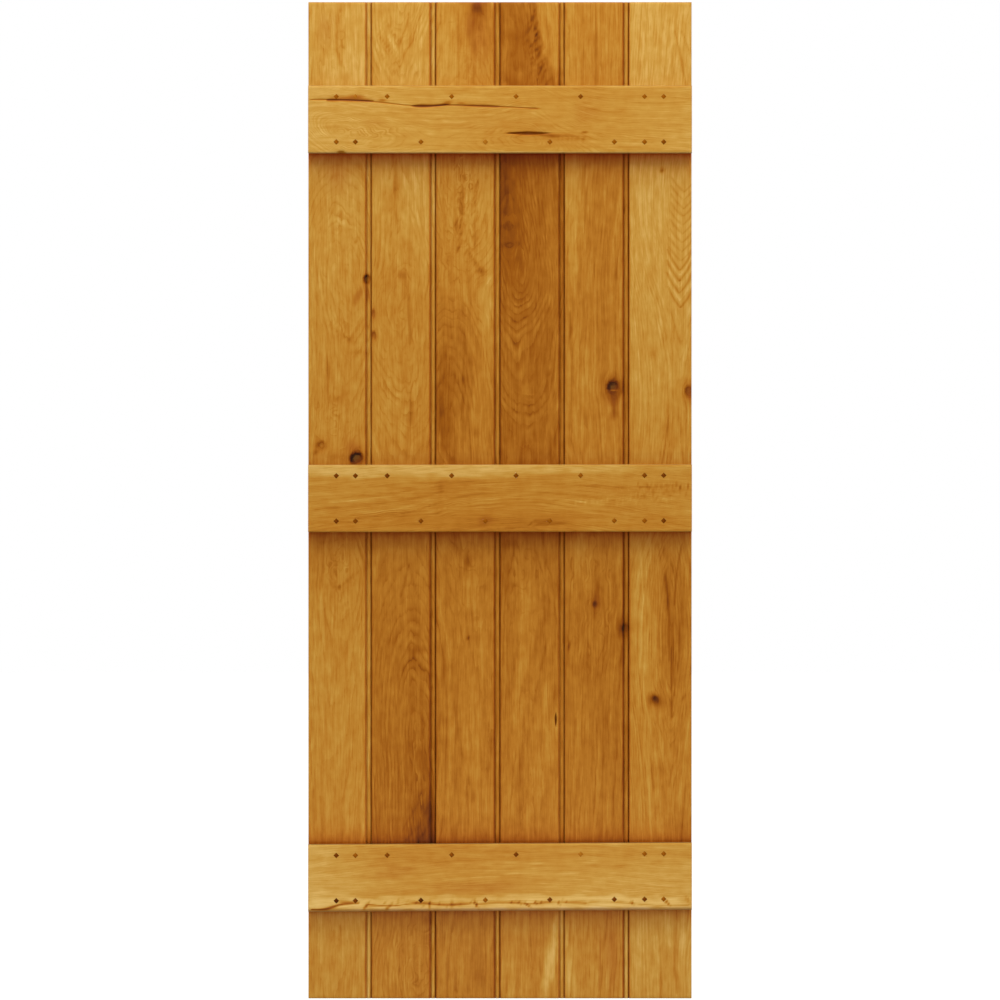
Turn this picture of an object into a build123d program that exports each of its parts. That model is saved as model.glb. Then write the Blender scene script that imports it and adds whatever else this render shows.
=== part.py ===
# A ledged door leaf of solid oak: six tongued and beaded boards, held by three
# ledges and by square pegs driven through ledge and board.
#
# X runs across the leaf, Z up, and the ledges are on the -Y side. The origin is
# at the middle of the bottom edge, half way through the leaf's thickness.
from build123d import *
import os

# The boards, which make up the leaf's width
leaf_height = 1981.0
board_thickness = 20.0
outer_board_width = 125.0  # from the leaf's edge to the joint
inner_board_width = 128.0  # from joint to joint
inner_board_count = 4
joint_gap = 1.6
board_arris = 1.2  # the eased corner beside each joint
stile_arris = 2.0  # the eased corner along the leaf's two long edges

# The tongue and groove
tongue_thickness = 6.0
tongue_length = 8.0
tongue_side_clearance = 0.2
tongue_end_clearance = 1.0

# The bead beside each joint, worked on both faces
bead_radius = 3.9
bead_set = 0.3  # how far the crown of the bead lies under the board's face
quirk_width = 2.4

# The ledges
ledge_thickness = 24.0
ledge_height = 134.0
ledge_arris = 2.5
wane_radius = 7.0  # the rounder lower corner of the bottom ledge
top_ledge_drop = 167.0  # from the leaf's top to the top ledge
bottom_ledge_lift = 175.0  # from the leaf's bottom to the bottom ledge
middle_ledge_rise = 1.0  # how much higher the ledge's right end is
bottom_ledge_rise = 4.0

# The pegs: square, and turned to stand on a corner
peg_side = 8.0
peg_turn = 45.0
peg_edge_distance = 22.0  # from the ledge's long edges
edge_peg_inset = 56.0  # from the leaf's long edges
outer_peg_inset = 31.0  # from the joint of an outer board
upper_peg_inset = 32.0  # from the joint on the left of an inner board
lower_peg_inset = 29.0  # from the joint on the right of an inner board

# The open shake in the top ledge's face, and the chip in its lower corner
shake_length = 94.0
shake_width = 8.0
shake_depth = 5.0
shake_from_middle = 56.0
shake_above_edge = 39.0
chip_length = 18.0
chip_depth = 3.5
chip_from_middle = -316.0

# The short split in the fourth board
split_board = 4
split_length = 34.0
split_width = 5.0
split_depth = 6.0
split_from_right_joint = 17.0
split_height = 554.0

# Worked out from the sizes above
leaf_thickness = board_thickness + ledge_thickness
board_back = leaf_thickness / 2
board_front = board_back - board_thickness
ledge_front = board_front - ledge_thickness
board_middle = (board_front + board_back) / 2
leaf_width = 2 * outer_board_width + inner_board_count * inner_board_width
right_edge = leaf_width / 2
first_joint = outer_board_width - right_edge
joints = [first_joint + inner_board_width * i for i in range(inner_board_count + 1)]
board_lines = [-right_edge, *joints, right_edge]
board_count = inner_board_count + 2
groove_width = tongue_thickness + 2 * tongue_side_clearance
groove_depth = tongue_length - joint_gap + tongue_end_clearance
bead_floor = bead_radius + bead_set

top_ledge_level = leaf_height - top_ledge_drop - ledge_height / 2
bottom_ledge_level = bottom_ledge_lift + ledge_height / 2
middle_ledge_level = (top_ledge_level + bottom_ledge_level) / 2
ledges = {
    "top_ledge": (top_ledge_level, 0.0),
    "middle_ledge": (middle_ledge_level, middle_ledge_rise),
    "bottom_ledge": (bottom_ledge_level, bottom_ledge_rise),
}


def ledge_line(ledge_name, across, up=0.0):
    """The point on a ledge at a distance across the leaf and above the ledge's middle line."""
    level, rise = ledges[ledge_name]
    return across, level + rise * across / leaf_width + up


def peg_rows(ledge_name):
    """The centres of a ledge's pegs, as two rows from left to right."""
    left_pair = [-right_edge + edge_peg_inset, first_joint - outer_peg_inset]
    right_pair = [-across for across in reversed(left_pair)]
    upper = left_pair + [joint + upper_peg_inset for joint in joints[:-1]] + right_pair
    lower = left_pair + [joint - lower_peg_inset for joint in joints[1:]] + right_pair
    row_height = ledge_height / 2 - peg_edge_distance
    return {
        "upper": [ledge_line(ledge_name, across, row_height) for across in upper],
        "lower": [ledge_line(ledge_name, across, -row_height) for across in lower],
    }


def peg_centres(ledge_name, left=-right_edge, right=right_edge):
    """The centres of a ledge's pegs that lie between two lines across the leaf."""
    rows = peg_rows(ledge_name)
    return [spot for row in rows.values() for spot in row if left < spot[0] < right]


def lens(length, width):
    """Draws a pointed lens about the present location, along its first axis."""
    with BuildLine() as outline:
        ThreePointArc((-length / 2, 0), (0, width / 2), (length / 2, 0))
        ThreePointArc((length / 2, 0), (0, -width / 2), (-length / 2, 0))
    make_face(outline.edges())


def make_board(number):
    """A board of the leaf, counted from the left as seen from the ledge side."""
    first = number == 1
    last = number == board_count
    left_line = board_lines[number - 1]
    right_line = board_lines[number]
    left_face = left_line + (0.0 if first else joint_gap / 2)
    right_face = right_line - (0.0 if last else joint_gap / 2)

    with BuildPart() as board:
        with BuildSketch(Plane.XY) as section:
            with Locations(((left_face + right_face) / 2, board_middle)):
                Rectangle(right_face - left_face, board_thickness)
            left_corners = section.vertices().group_by(Axis.X)[0]
            fillet(left_corners, stile_arris if first else board_arris)
            if last:
                fillet(section.vertices().group_by(Axis.X)[-1], stile_arris)
            if not first:
                with Locations((left_face, board_middle)):
                    Rectangle(2 * groove_depth, groove_width, mode=Mode.SUBTRACT)
            if not last:
                with Locations((right_face, board_middle)):
                    Rectangle(2 * tongue_length, tongue_thickness)
                for face, inward in ((board_front, 1), (board_back, -1)):
                    with Locations((right_face, face)):
                        Rectangle(
                            2 * (2 * bead_radius + quirk_width),
                            2 * bead_floor,
                            mode=Mode.SUBTRACT,
                        )
                    with Locations((right_face - bead_radius, face + inward * bead_floor)):
                        Circle(bead_radius)
        extrude(amount=leaf_height)

        with BuildSketch(Plane.XZ.offset(-board_back)):
            for ledge_name in ledges:
                with Locations(*peg_centres(ledge_name, left_line, right_line)):
                    Rectangle(peg_side, peg_side, rotation=peg_turn)
        extrude(amount=board_thickness, mode=Mode.SUBTRACT)

        if number == split_board:
            split_centre = (right_line - split_from_right_joint, board_front, split_height)
            split_plane = Plane(split_centre, x_dir=(0, 0, 1), z_dir=(0, -1, 0))
            with BuildSketch(split_plane):
                lens(split_length, split_width)
            extrude(amount=-split_depth, mode=Mode.SUBTRACT)
    return board


def make_ledge(ledge_name):
    """A ledge across the leaf, with its long edges on the slope that its rise gives."""
    half = ledge_height / 2
    with BuildPart() as ledge:
        with BuildSketch(Plane.XZ.offset(-board_front)):
            with BuildLine():
                Polyline(
                    ledge_line(ledge_name, -right_edge, -half),
                    ledge_line(ledge_name, right_edge, -half),
                    ledge_line(ledge_name, right_edge, half),
                    ledge_line(ledge_name, -right_edge, half),
                    close=True,
                )
            make_face()
        extrude(amount=ledge_thickness)

        face_edges = ledge.faces().sort_by(Axis.Y)[0].edges().sort_by(Axis.Z)
        if ledge_name == "bottom_ledge":
            fillet(face_edges[0], wane_radius)
            face_edges = ledge.faces().sort_by(Axis.Y)[0].edges().sort_by(Axis.Z)[1:]
        fillet(face_edges, ledge_arris)

        with BuildSketch(Plane.XZ.offset(-board_front)):
            with Locations(*peg_centres(ledge_name)):
                Rectangle(peg_side, peg_side, rotation=peg_turn)
        extrude(amount=ledge_thickness, mode=Mode.SUBTRACT)

        if ledge_name == "top_ledge":
            shake_spot = ledge_line(ledge_name, shake_from_middle, shake_above_edge - half)
            shake_plane = Plane((shake_spot[0], ledge_front, shake_spot[1]), z_dir=(0, -1, 0))
            with BuildSketch(shake_plane):
                lens(shake_length, shake_width)
            extrude(amount=-shake_depth, mode=Mode.SUBTRACT)

            scoop = (chip_length**2 / 4 + chip_depth**2) / (2 * chip_depth)
            reach = (scoop - chip_depth) / 2**0.5
            chip_spot = ledge_line(ledge_name, chip_from_middle, -half - reach)
            with Locations((chip_spot[0], ledge_front - reach, chip_spot[1])):
                Sphere(scoop, mode=Mode.SUBTRACT)
    return ledge


def make_peg(centre):
    """A square peg through ledge and board, flush with both faces."""
    with BuildPart() as peg:
        with BuildSketch(Plane.XZ.offset(-board_back)):
            with Locations(centre):
                Rectangle(peg_side, peg_side, rotation=peg_turn)
        extrude(amount=leaf_thickness)
    return peg


os.makedirs("parts", exist_ok=True)

for number in range(1, board_count + 1):
    board = make_board(number)
    board.part.label = f"board_{number}"
    export_step(board.part, f"parts/{board.part.label}.step")

for ledge_name in ledges:
    ledge = make_ledge(ledge_name)
    ledge.part.label = ledge_name
    export_step(ledge.part, f"parts/{ledge_name}.step")

    for row, centres in peg_rows(ledge_name).items():
        for count, centre in enumerate(centres, start=1):
            peg = make_peg(centre)
            peg.part.label = f"{ledge_name}_{row}_peg_{count}"
            export_step(peg.part, f"parts/{peg.part.label}.step")
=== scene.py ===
"""The looks of a ledged door leaf: beaded oak boards, ledges and square pegs, oiled golden.

Sizes are in millimetres and turn into metres where a mesh is made. A piece of timber has
three directions: along its grain, across it, and deep behind its front face.
"""

import logging
import math
from collections.abc import Callable, Iterable, Sequence
from dataclasses import dataclass
from enum import Enum

import bmesh
import bpy
import numpy as np
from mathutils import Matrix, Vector


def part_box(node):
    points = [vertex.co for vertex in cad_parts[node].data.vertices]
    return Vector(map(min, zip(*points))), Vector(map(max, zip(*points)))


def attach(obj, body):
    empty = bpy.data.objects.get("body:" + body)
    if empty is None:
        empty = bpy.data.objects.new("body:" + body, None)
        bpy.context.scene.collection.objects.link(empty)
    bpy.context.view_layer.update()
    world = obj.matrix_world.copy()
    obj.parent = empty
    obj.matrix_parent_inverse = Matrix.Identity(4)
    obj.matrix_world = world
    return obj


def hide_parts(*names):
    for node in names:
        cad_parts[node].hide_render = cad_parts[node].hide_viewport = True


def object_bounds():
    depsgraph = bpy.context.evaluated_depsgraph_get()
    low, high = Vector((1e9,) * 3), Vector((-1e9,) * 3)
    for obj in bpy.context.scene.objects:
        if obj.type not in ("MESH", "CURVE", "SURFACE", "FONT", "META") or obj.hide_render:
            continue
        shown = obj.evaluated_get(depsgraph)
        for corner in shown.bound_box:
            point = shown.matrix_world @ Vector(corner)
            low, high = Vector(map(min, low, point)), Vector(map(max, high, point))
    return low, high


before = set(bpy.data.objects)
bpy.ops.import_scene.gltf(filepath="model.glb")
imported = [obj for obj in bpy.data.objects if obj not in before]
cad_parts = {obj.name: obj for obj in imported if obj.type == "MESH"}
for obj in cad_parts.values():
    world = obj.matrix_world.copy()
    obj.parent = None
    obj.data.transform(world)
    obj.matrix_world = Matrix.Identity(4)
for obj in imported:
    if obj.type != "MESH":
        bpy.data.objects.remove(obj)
cad_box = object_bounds()

MM = 0.001
SHARP_ANGLE = math.radians(38)
# How far from a sawn end the end grain shows, in millimetres
END_REACH = 0.6
log = logging.getLogger("ledged_door")

Field = np.ndarray
Spots = Sequence[tuple[float, float]]
Triple = tuple[float, float, float]
Face = tuple[int, ...]
Socket = bpy.types.NodeSocket


class PegShade(Enum):
    """How dark a peg's end has turned with the oil."""

    BLACK = 0.25
    DARK = 0.355
    BROWN = 0.41
    LIGHT = 0.48
    FAINT = 0.565


class Slot(Enum):
    """The record's material slots."""

    BOARD = "board_oak"
    LEDGE = "ledge_oak"
    PEG = "peg_oak"


class Trait(Enum):
    """The attributes that a piece of timber carries for its finish."""

    RING = "ring"
    GRAIN = "grain"
    TONE = "tone"
    BLUSH = "blush"
    KNOT = "knot"
    KNOT_TONE = "knot_tone"
    # Painted shade in the quirks, joints and just above the ledges, with dark oil in the joints, and
    # painted light on the bead crowns below zero
    CREVICE = "crevice"
    # Painted shadow tint, darker and redder, on the boards next to the ledges, and the same tint on the
    # dark oil in the joints
    POOL = "pool"
    # Painted shade on the top faces of the board ends and the ledges, which face the high lamp
    DUST = "dust"
    END = "end_grain"
    RAY = "ray"
    BOLD = "bold"


def hashed(cells: Field, seed: int) -> Field:
    """Gives each whole-numbered cell a random value.

    Args:
        cells: Whole numbers, one row of three for each cell.
        seed: Which set of random values to give.

    Returns:
        Values from -1 to 1.
    """
    keys = cells.astype(np.int64).view(np.uint64)
    mixed = keys[:, 0] * np.uint64(0x9E3779B97F4A7C15) ^ keys[:, 1] * np.uint64(0xC2B2AE3D27D4EB4F)
    mixed ^= keys[:, 2] * np.uint64(0x165667B19E3779F9) + np.uint64(seed * 7919 + 17)
    for shift in (31, 29, 32):
        mixed ^= mixed >> np.uint64(shift)
        mixed *= np.uint64(0xD6E8FEB86659FD93)
    return (mixed >> np.uint64(40)).astype(float) / float(1 << 23) - 1.0


def smooth_noise(points: Field, seed: int) -> Field:
    """Blends random values smoothly between the cells of a lattice.

    Args:
        points: One row of three coordinates for each point, in cells.
        seed: Which set of random values to use.

    Returns:
        Values from -1 to 1.
    """
    cell = np.floor(points)
    part = points - cell
    part = part * part * (3 - 2 * part)
    total = np.zeros(len(points))
    for corner in range(8):
        offset = np.array([corner & 1, corner >> 1 & 1, corner >> 2 & 1])
        weight = np.prod(np.where(offset == 1, part, 1 - part), axis=1)
        total += weight * hashed(cell + offset, seed)
    return total


def smooth_step(low: float, high: float, values: Field) -> Field:
    """Rises smoothly from 0 at low to 1 at high."""
    part = np.clip((values - low) / (high - low), 0, 1)
    return part * part * (3 - 2 * part)


def smooth_path(stations: Sequence[float], values: Sequence[float], at: Field) -> Field:
    """Runs a smooth path through given values.

    Args:
        stations: Two or more rising places at which the values are known.
        values: The value at each station.
        at: Places at which the path is wanted. Beyond the ends it stays level.

    Returns:
        The path's value at each place.
    """
    where = np.asarray(stations, float)
    known = np.asarray(values, float)
    slope = np.gradient(known, where)
    place = np.clip(at, where[0], where[-1])
    left = np.clip(np.searchsorted(where, place) - 1, 0, len(where) - 2)
    span = where[left + 1] - where[left]
    t = (place - where[left]) / span
    rise = (3 - 2 * t) * t * t
    lead_in = t * (1 - t) ** 2 * span * slope[left]
    lead_out = t * t * (t - 1) * span * slope[left + 1]
    return known[left] * (1 - rise) + known[left + 1] * rise + lead_in + lead_out


@dataclass(frozen=True)
class Heart:
    """The run of the tree's heart behind a face, which makes the arches and flames.

    Each station is a place along the grain, the heart's place across it and its depth.
    """

    stations: tuple[Triple, ...]

    def at(self, along: Field) -> tuple[Field, Field]:
        """Gives the heart's place across the grain and its depth at places along it."""
        places, across, depth = zip(*self.stations)
        return smooth_path(places, across, along), smooth_path(places, depth, along)


@dataclass(frozen=True)
class Knot:
    """A knot: its middle, its half width, and how its wood differs from the rest."""

    along: float
    across: float
    radius: float
    tone: float = -0.3
    stretch: float = 1.2
    pull: float = 1.5
    halo: float = -0.08
    sink: float = 0.3
    spread: float = 1.0

    def reach(self, along: Field, across: Field) -> Field:
        """Gives the distance from the knot's middle, in radii."""
        rise = (along - self.along) / (self.radius * self.stretch)
        return np.hypot(rise, (across - self.across) / self.radius)


@dataclass(frozen=True)
class Shade:
    """A lighter or darker patch with its own half length, half width, turn and edge."""

    along: float
    across: float
    length: float
    width: float
    change: float
    turn: float = 0.0
    edge: float = 0.0
    blush: float = 0.0
    ragged: float = 0.15

    def mask(self, along: Field, across: Field, roughness: Field) -> Field:
        """Gives the patch's strength, from 0 outside to 1 in its middle.

        Args:
            along: Places along the grain.
            across: Places across the grain.
            roughness: Noise that makes the patch's edge uneven.

        Returns:
            The strength at each place.
        """
        sine, cosine = math.sin(math.radians(self.turn)), math.cos(math.radians(self.turn))
        rise, aside = along - self.along, across - self.across
        far = np.hypot((rise * cosine + aside * sine) / self.length,
                       (aside * cosine - rise * sine) / self.width)
        far = far + self.ragged * roughness
        soft = np.exp(-1.4 * np.clip(far, 0, 4) ** 2)
        hard = 1 - smooth_step(0.82, 1.12, far)
        return soft * (1 - self.edge) + hard * self.edge


def torn(*places: float, **rest: float) -> Shade:
    """Makes a patch with a very uneven edge."""
    return Shade(*places, **rest, ragged=0.4)


def frayed(*places: float, **rest: float) -> Shade:
    """Makes a patch with an uneven edge."""
    return Shade(*places, **rest, ragged=0.3)


@dataclass(frozen=True)
class Streak:
    """A narrow line along the grain: a dark vein, or a check that is open by its cut."""

    path: tuple[tuple[float, float], ...]
    width: float
    change: float
    blush: float = 0.0
    cut: float = 0.0

    def mask(self, along: Field, across: Field, roughness: Field) -> Field:
        """Gives the streak's strength, with tapered ends, as Shade.mask does."""
        places, line = zip(*self.path)
        aside = across - smooth_path(places, line, along)
        taper = np.clip((along - places[0]) * (places[-1] - along), 0, None)
        taper = np.sqrt(taper) * 2 / (places[-1] - places[0])
        half = self.width * np.clip(0.35 + 0.65 * taper + 0.5 * roughness, 0.2, 2)
        return np.exp(-(aside / half) ** 2) * smooth_step(0, 0.25, taper)


@dataclass(frozen=True)
class Pocket:
    """An open shake or split: a pointed lens along the grain, sunk into the face."""

    along: float
    across: float
    length: float
    width: float
    depth: float
    wall: float = 2.2
    # How much darker the inside is drawn, as painted shade in the hollow
    stain: float = -0.24

    def sink(self, along: Field, across: Field) -> Field:
        """Gives how deep the pocket is at each place."""
        reach = np.clip(1 - (2 * (along - self.along) / self.length) ** 2, 0, None)
        inside = self.width / 2 * reach - np.abs(across - self.across)
        return self.depth * smooth_step(0, self.wall, inside)


@dataclass(frozen=True)
class Chip:
    """A scoop out of the lower front corner."""

    along: float
    across: float
    length: float
    depth: float
    # How much darker the inside is drawn, as painted shade in the hollow
    stain: float = -0.22

    def sink(self, along: Field, across: Field) -> Field:
        """Gives how far the face lies back in the scoop."""
        reach = np.hypot(2 * (along - self.along) / self.length, (across - self.across) / self.depth)
        return self.depth * np.sqrt(np.clip(1 - reach**2, 0, None))


def flecks(start: tuple[float, float], end: tuple[float, float], count: int, size: float,
           change: float, turn: float, seed: int) -> tuple[Shade, ...]:
    """Scatters short slanting dashes along a line.

    Args:
        start: The line's first place along and across the grain.
        end: Its last place.
        count: How many dashes lie along it.
        size: A dash's half length.
        change: A dash's tone.
        turn: A dash's turn from the grain, in degrees.
        seed: Which set of small random differences to use.

    Returns:
        The dashes.
    """
    rng = np.random.default_rng(seed)
    dashes = []
    for part in np.linspace(0, 1, count):
        along = start[0] + (end[0] - start[0]) * part + rng.normal(0, size / 3)
        across = start[1] + (end[1] - start[1]) * part + rng.normal(0, size / 2)
        length = size * rng.uniform(0.6, 1.3)
        tone = change * rng.uniform(0.5, 1.2)
        dashes.append(Shade(along, across, length, size * 0.28, tone, turn + rng.normal(0, 9)))
    return tuple(dashes)


def chevrons(tips: Spots, spread: float, rise: float, width: float,
             change: float) -> tuple[Streak, ...]:
    """Draws nested V lines, as where the rings come to the face in points.

    Args:
        tips: The place along and across the grain of each line's point.
        spread: How far an arm runs across the grain.
        rise: How far it runs along it.
        width: A line's half width.
        change: A line's tone.

    Returns:
        Two streaks for each tip.
    """
    lines = []
    for along, across in tips:
        for side in (-spread, spread):
            elbow = (along + 0.45 * rise, across + 0.6 * side)
            end = (along + rise, across + side)
            lines.append(Streak(((along - 3, across), elbow, end), width, change))
    return tuple(lines)


@dataclass(frozen=True)
class Crinkle:
    """A place where the rings run unevenly: how far, how coarse across and along."""

    along: float
    across: float
    length: float
    width: float
    amount: float
    coarse: float = 7.0
    drawn: float = 3.0


# The noises of the grain: their lumps' size across and along it, and each noise's number
ROUGH = (9, 26, 0)
BROAD = (42, 260, 1)
WANDER = (16, 80, 2)
CRINKLED = 3
# The distance from a knot, in its radii, at a place that has none near
NO_KNOT = 9.0


@dataclass(frozen=True)
class Figure:
    """All that shows in one piece's grain, in the piece's own directions.

    Attributes:
        seed: Which set of random values the piece's noises use.
        tones: Places along the grain, each with the tone there.
        heart: The run of the tree's heart behind the face.
        ring_width: The distance between rings.
        roundness: 2 for round rings, and less for pointed ones.
        sway: How far the grain wanders sideways.
        ray: Patches of ray fleck.
        knots: The knots.
        shades: Lighter and darker patches.
        streaks: Narrow lines.
        crinkles: Places where the rings run unevenly.
        bold: Patches in which the rings show more, or less below zero.
        pockets: Open shakes and splits.
        chips: Scoops out of the corner.
        dense: Spans along and across in which the mesh is finer, as four ends.
    """

    seed: int
    tones: tuple[tuple[float, float], ...]
    heart: Heart
    ring_width: float = 3.2
    roundness: float = 2.0
    sway: float = 4.0
    ray: tuple[Shade, ...] = ()
    knots: tuple[Knot, ...] = ()
    shades: tuple[Shade, ...] = ()
    streaks: tuple[Streak, ...] = ()
    crinkles: tuple[Crinkle, ...] = ()
    bold: tuple[Shade, ...] = ()
    pockets: tuple[Pocket, ...] = ()
    chips: tuple[Chip, ...] = ()
    dense: tuple[tuple[float, float, float, float], ...] = ()

    def noise(self, spots: Field, across: float, along: float, count: int) -> Field:
        """Gives noise with lumps of a given size.

        Args:
            spots: Rows of place across, depth and place along.
            across: The lumps' size across the grain and in depth.
            along: The lumps' size along the grain.
            count: Which of the piece's noises this is.

        Returns:
            Values from -1 to 1.
        """
        return smooth_noise(spots / np.array([across, across, along]), self.seed * 31 + count)

    def round_knots(self, along: Field, across: Field, rough: Field) -> tuple[Field, ...]:
        """Works out what the knots do to the wood round them.

        Args:
            along: Places along the grain.
            across: Places across the grain.
            rough: Noise that makes the knots' outlines uneven.

        Returns:
            How far the grain is pushed aside, how much the rings swell, the change of tone, the
            distance from the nearest knot in its radii, and that knot's own tone.
        """
        push, swell, halo, knot_tone = np.zeros((4, len(along)))
        nearest = np.full(len(along), NO_KNOT)
        for knot in self.knots:
            off, lift = across - knot.across, along - knot.along
            near = np.exp(-np.abs(off) / (2.6 * knot.radius) - (lift / (3.2 * knot.radius)) ** 2)
            push += knot.radius * np.tanh(off / knot.radius) * near
            far = knot.reach(along, across) + 0.25 * rough
            swell += knot.pull * np.exp(-far / 1.5)
            halo += knot.halo * np.exp(-((np.clip(far - 0.8, 0, 9) / knot.spread) ** 1.5))
            slant = 1 + 0.6 * np.tanh((lift - off) / knot.radius)
            knot_tone = np.where(far < nearest, knot.tone * slant, knot_tone)
            nearest = np.minimum(nearest, far)
        return push, swell, halo, nearest, knot_tone

    def traits(self, along: Field, across: Field, deep: Field) -> dict[Trait, Field]:
        """Works out what the finish needs to know at each point.

        Args:
            along: Places along the grain.
            across: Places across the grain.
            deep: Depths behind the front face.

        Returns:
            A value, or a row of three for the grain, at each point for each trait.
        """
        spots = np.column_stack((across, deep, along))
        rough = self.noise(spots, *ROUGH)
        broad = self.noise(spots, *BROAD)
        wander = self.noise(spots, *WANDER)
        push, swell, halo, knot, knot_tone = self.round_knots(along, across, rough)
        aside = across + self.sway * (broad + 0.35 * wander) - push
        tone = smooth_path(*zip(*self.tones), along) + 0.012 * broad + 0.008 * wander + halo
        blush, ray = np.zeros((2, len(along)))
        bold = np.ones(len(along))

        middle, heart_depth = self.heart.at(along)
        far = np.abs(aside - middle) ** self.roundness + (deep + heart_depth) ** self.roundness
        ring = far ** (1 / self.roundness) / self.ring_width + swell + 0.35 * wander
        for crinkle in self.crinkles:
            patch = Shade(crinkle.along, crinkle.across, crinkle.length, crinkle.width, 0)
            lumps = self.noise(spots, crinkle.coarse, crinkle.coarse * crinkle.drawn, CRINKLED)
            ring += crinkle.amount * lumps * patch.mask(along, across, rough)
        for mark in (*self.shades, *self.streaks):
            strength = mark.mask(along, across, rough)
            tone += mark.change * strength
            blush = np.maximum(blush, mark.blush * strength)
        for patch in self.ray:
            ray = np.maximum(ray, patch.change * patch.mask(along, across, rough))
        for patch in self.bold:
            bold += patch.change * patch.mask(along, across, rough)
        # Pockets and chips are drawn darker inside, as painted shade in the hollows
        for pocket in self.pockets:
            tone += pocket.stain * np.clip(pocket.sink(along, across) / pocket.depth, 0, 1)
        for chip in self.chips:
            tone += chip.stain * np.clip(2 * chip.sink(along, across) / chip.depth, 0, 1)
        return {
            Trait.RING: ring,
            Trait.GRAIN: np.column_stack((aside, deep, along)),
            Trait.TONE: tone,
            Trait.BLUSH: blush,
            Trait.KNOT: knot,
            Trait.KNOT_TONE: knot_tone,
            Trait.RAY: ray,
            Trait.BOLD: bold,
        }

    def relief(self, along: Field, across: Field) -> Field:
        """Gives how far the face lies back at knots and open checks."""
        spots = np.column_stack((across, np.zeros(len(along)), along))
        rough = self.noise(spots, *ROUGH)
        back = np.zeros(len(along))
        for knot in self.knots:
            back += knot.sink * (1 - smooth_step(0.6, 1.15, knot.reach(along, across)))
        for streak in self.streaks:
            back += streak.cut * streak.mask(along, across, rough)
        for hole in (*self.pockets, *self.chips):
            back = np.maximum(back, hole.sink(along, across))
        return back


def lines_between(low: float, high: float, spacing: float, exact: Iterable[float],
                  clear: Spots = (), fine: Sequence[Triple] = ()) -> Field:
    """Places lattice lines between two ends.

    Args:
        low: The first line.
        high: The last line.
        spacing: The widest gap between lines.
        exact: Places that get a line of their own.
        clear: Spans that get no further lines.
        fine: Spans with a narrower spacing, each as its two ends and the spacing.

    Returns:
        The lines' places, rising.
    """
    strong = sorted({low, high, *(place for place in exact if low < place < high)})
    weak = [end for span in fine for end in span[:2] if low < end < high]
    gap = 0.5
    stops = sorted(strong + [end for end in weak if min(abs(end - line) for line in strong) > gap])
    lines = [stops[0]]
    for left, right in zip(stops, stops[1:]):
        middle = (left + right) / 2
        steps = [step for start, end, step in fine if start <= middle <= end]
        inside = any(start <= middle <= end for start, end in clear)
        count = 1 if inside else math.ceil((right - left) / min([spacing, *steps]) - 1e-6)
        lines.extend(left + (right - left) * (step + 1) / count for step in range(count))
    return np.array(lines)


def about(middle: float, reach: float, *spacing: float) -> tuple[float, ...]:
    """Gives the span that reaches as far to both sides of a middle, and its spacing."""
    return (middle - reach, middle + reach, *spacing)


def peg_lines(places: Iterable[float]) -> tuple[list[float], list[tuple[float, ...]]]:
    """Gives the lines that peg holes at some places need, and the spans kept clear for them."""
    exact = [place + step for place in places for step in (-PEG_REACH, 0, PEG_REACH)]
    return exact, [about(place, PEG_REACH) for place in places]


@dataclass(frozen=True)
class Section:
    """A piece's section across its grain, as columns from face to face.

    Attributes:
        across: The columns' places across the grain.
        front: The front face's Y at each column.
        back: The back face's Y at each column.
        inner: Three levels between the faces, as Y at each column and tongue column.
        groove: How many columns stand beside the groove.
        tongue: The places across of the tongue's own columns.
    """

    across: Field
    front: Field
    back: Field
    inner: Field
    groove: int = 0
    tongue: tuple[float, ...] = ()

    def spots(self) -> dict[tuple, tuple[float, float]]:
        """Gives each node's place across and its Y, under its level and column."""
        found: dict[tuple, tuple[float, float]] = {}
        for column, place in enumerate((*self.across, *self.tongue)):
            if column < len(self.across):
                found["front", column] = (place, self.front[column])
                found["back", column] = (place, self.back[column])
            for level in range(3):
                if level != 1 or column >= self.groove:
                    found[level, column] = (place, self.inner[level][column])
        return found

    def outline(self) -> list[tuple]:
        """Lists the nodes round the section: front, right, back and left."""
        last = len(self.across) - 1
        end = last + len(self.tongue)
        round_right = [(0, i) for i in range(last, end + 1)] + [(1, end)]
        round_right += [(2, i) for i in range(end, last - 1, -1)]
        round_left = [(2, i) for i in range(self.groove + 1)] + [(1, self.groove)]
        round_left += [(0, i) for i in range(self.groove, -1, -1)]
        front = [("front", i) for i in range(last + 1)]
        back = [("back", i) for i in range(last, -1, -1)]
        return front + round_right + back + round_left

    def cap(self) -> list[tuple]:
        """Lists the faces that close an end, each as four nodes."""
        last = len(self.across) - 1
        faces = []
        for i in range(last):
            faces.append((("front", i), ("front", i + 1), (0, i + 1), (0, i)))
            faces.append(((2, i), (2, i + 1), ("back", i + 1), ("back", i)))
        for i in range(self.groove, last + len(self.tongue)):
            faces.append(((0, i), (0, i + 1), (1, i + 1), (1, i)))
            faces.append(((1, i), (1, i + 1), (2, i + 1), (2, i)))
        return faces


def new_object(name: str, data: bpy.types.ID) -> bpy.types.Object:
    """Puts a new object with its data into the scene."""
    thing = bpy.data.objects.new(name, data)
    bpy.context.scene.collection.objects.link(thing)
    return thing


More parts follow.
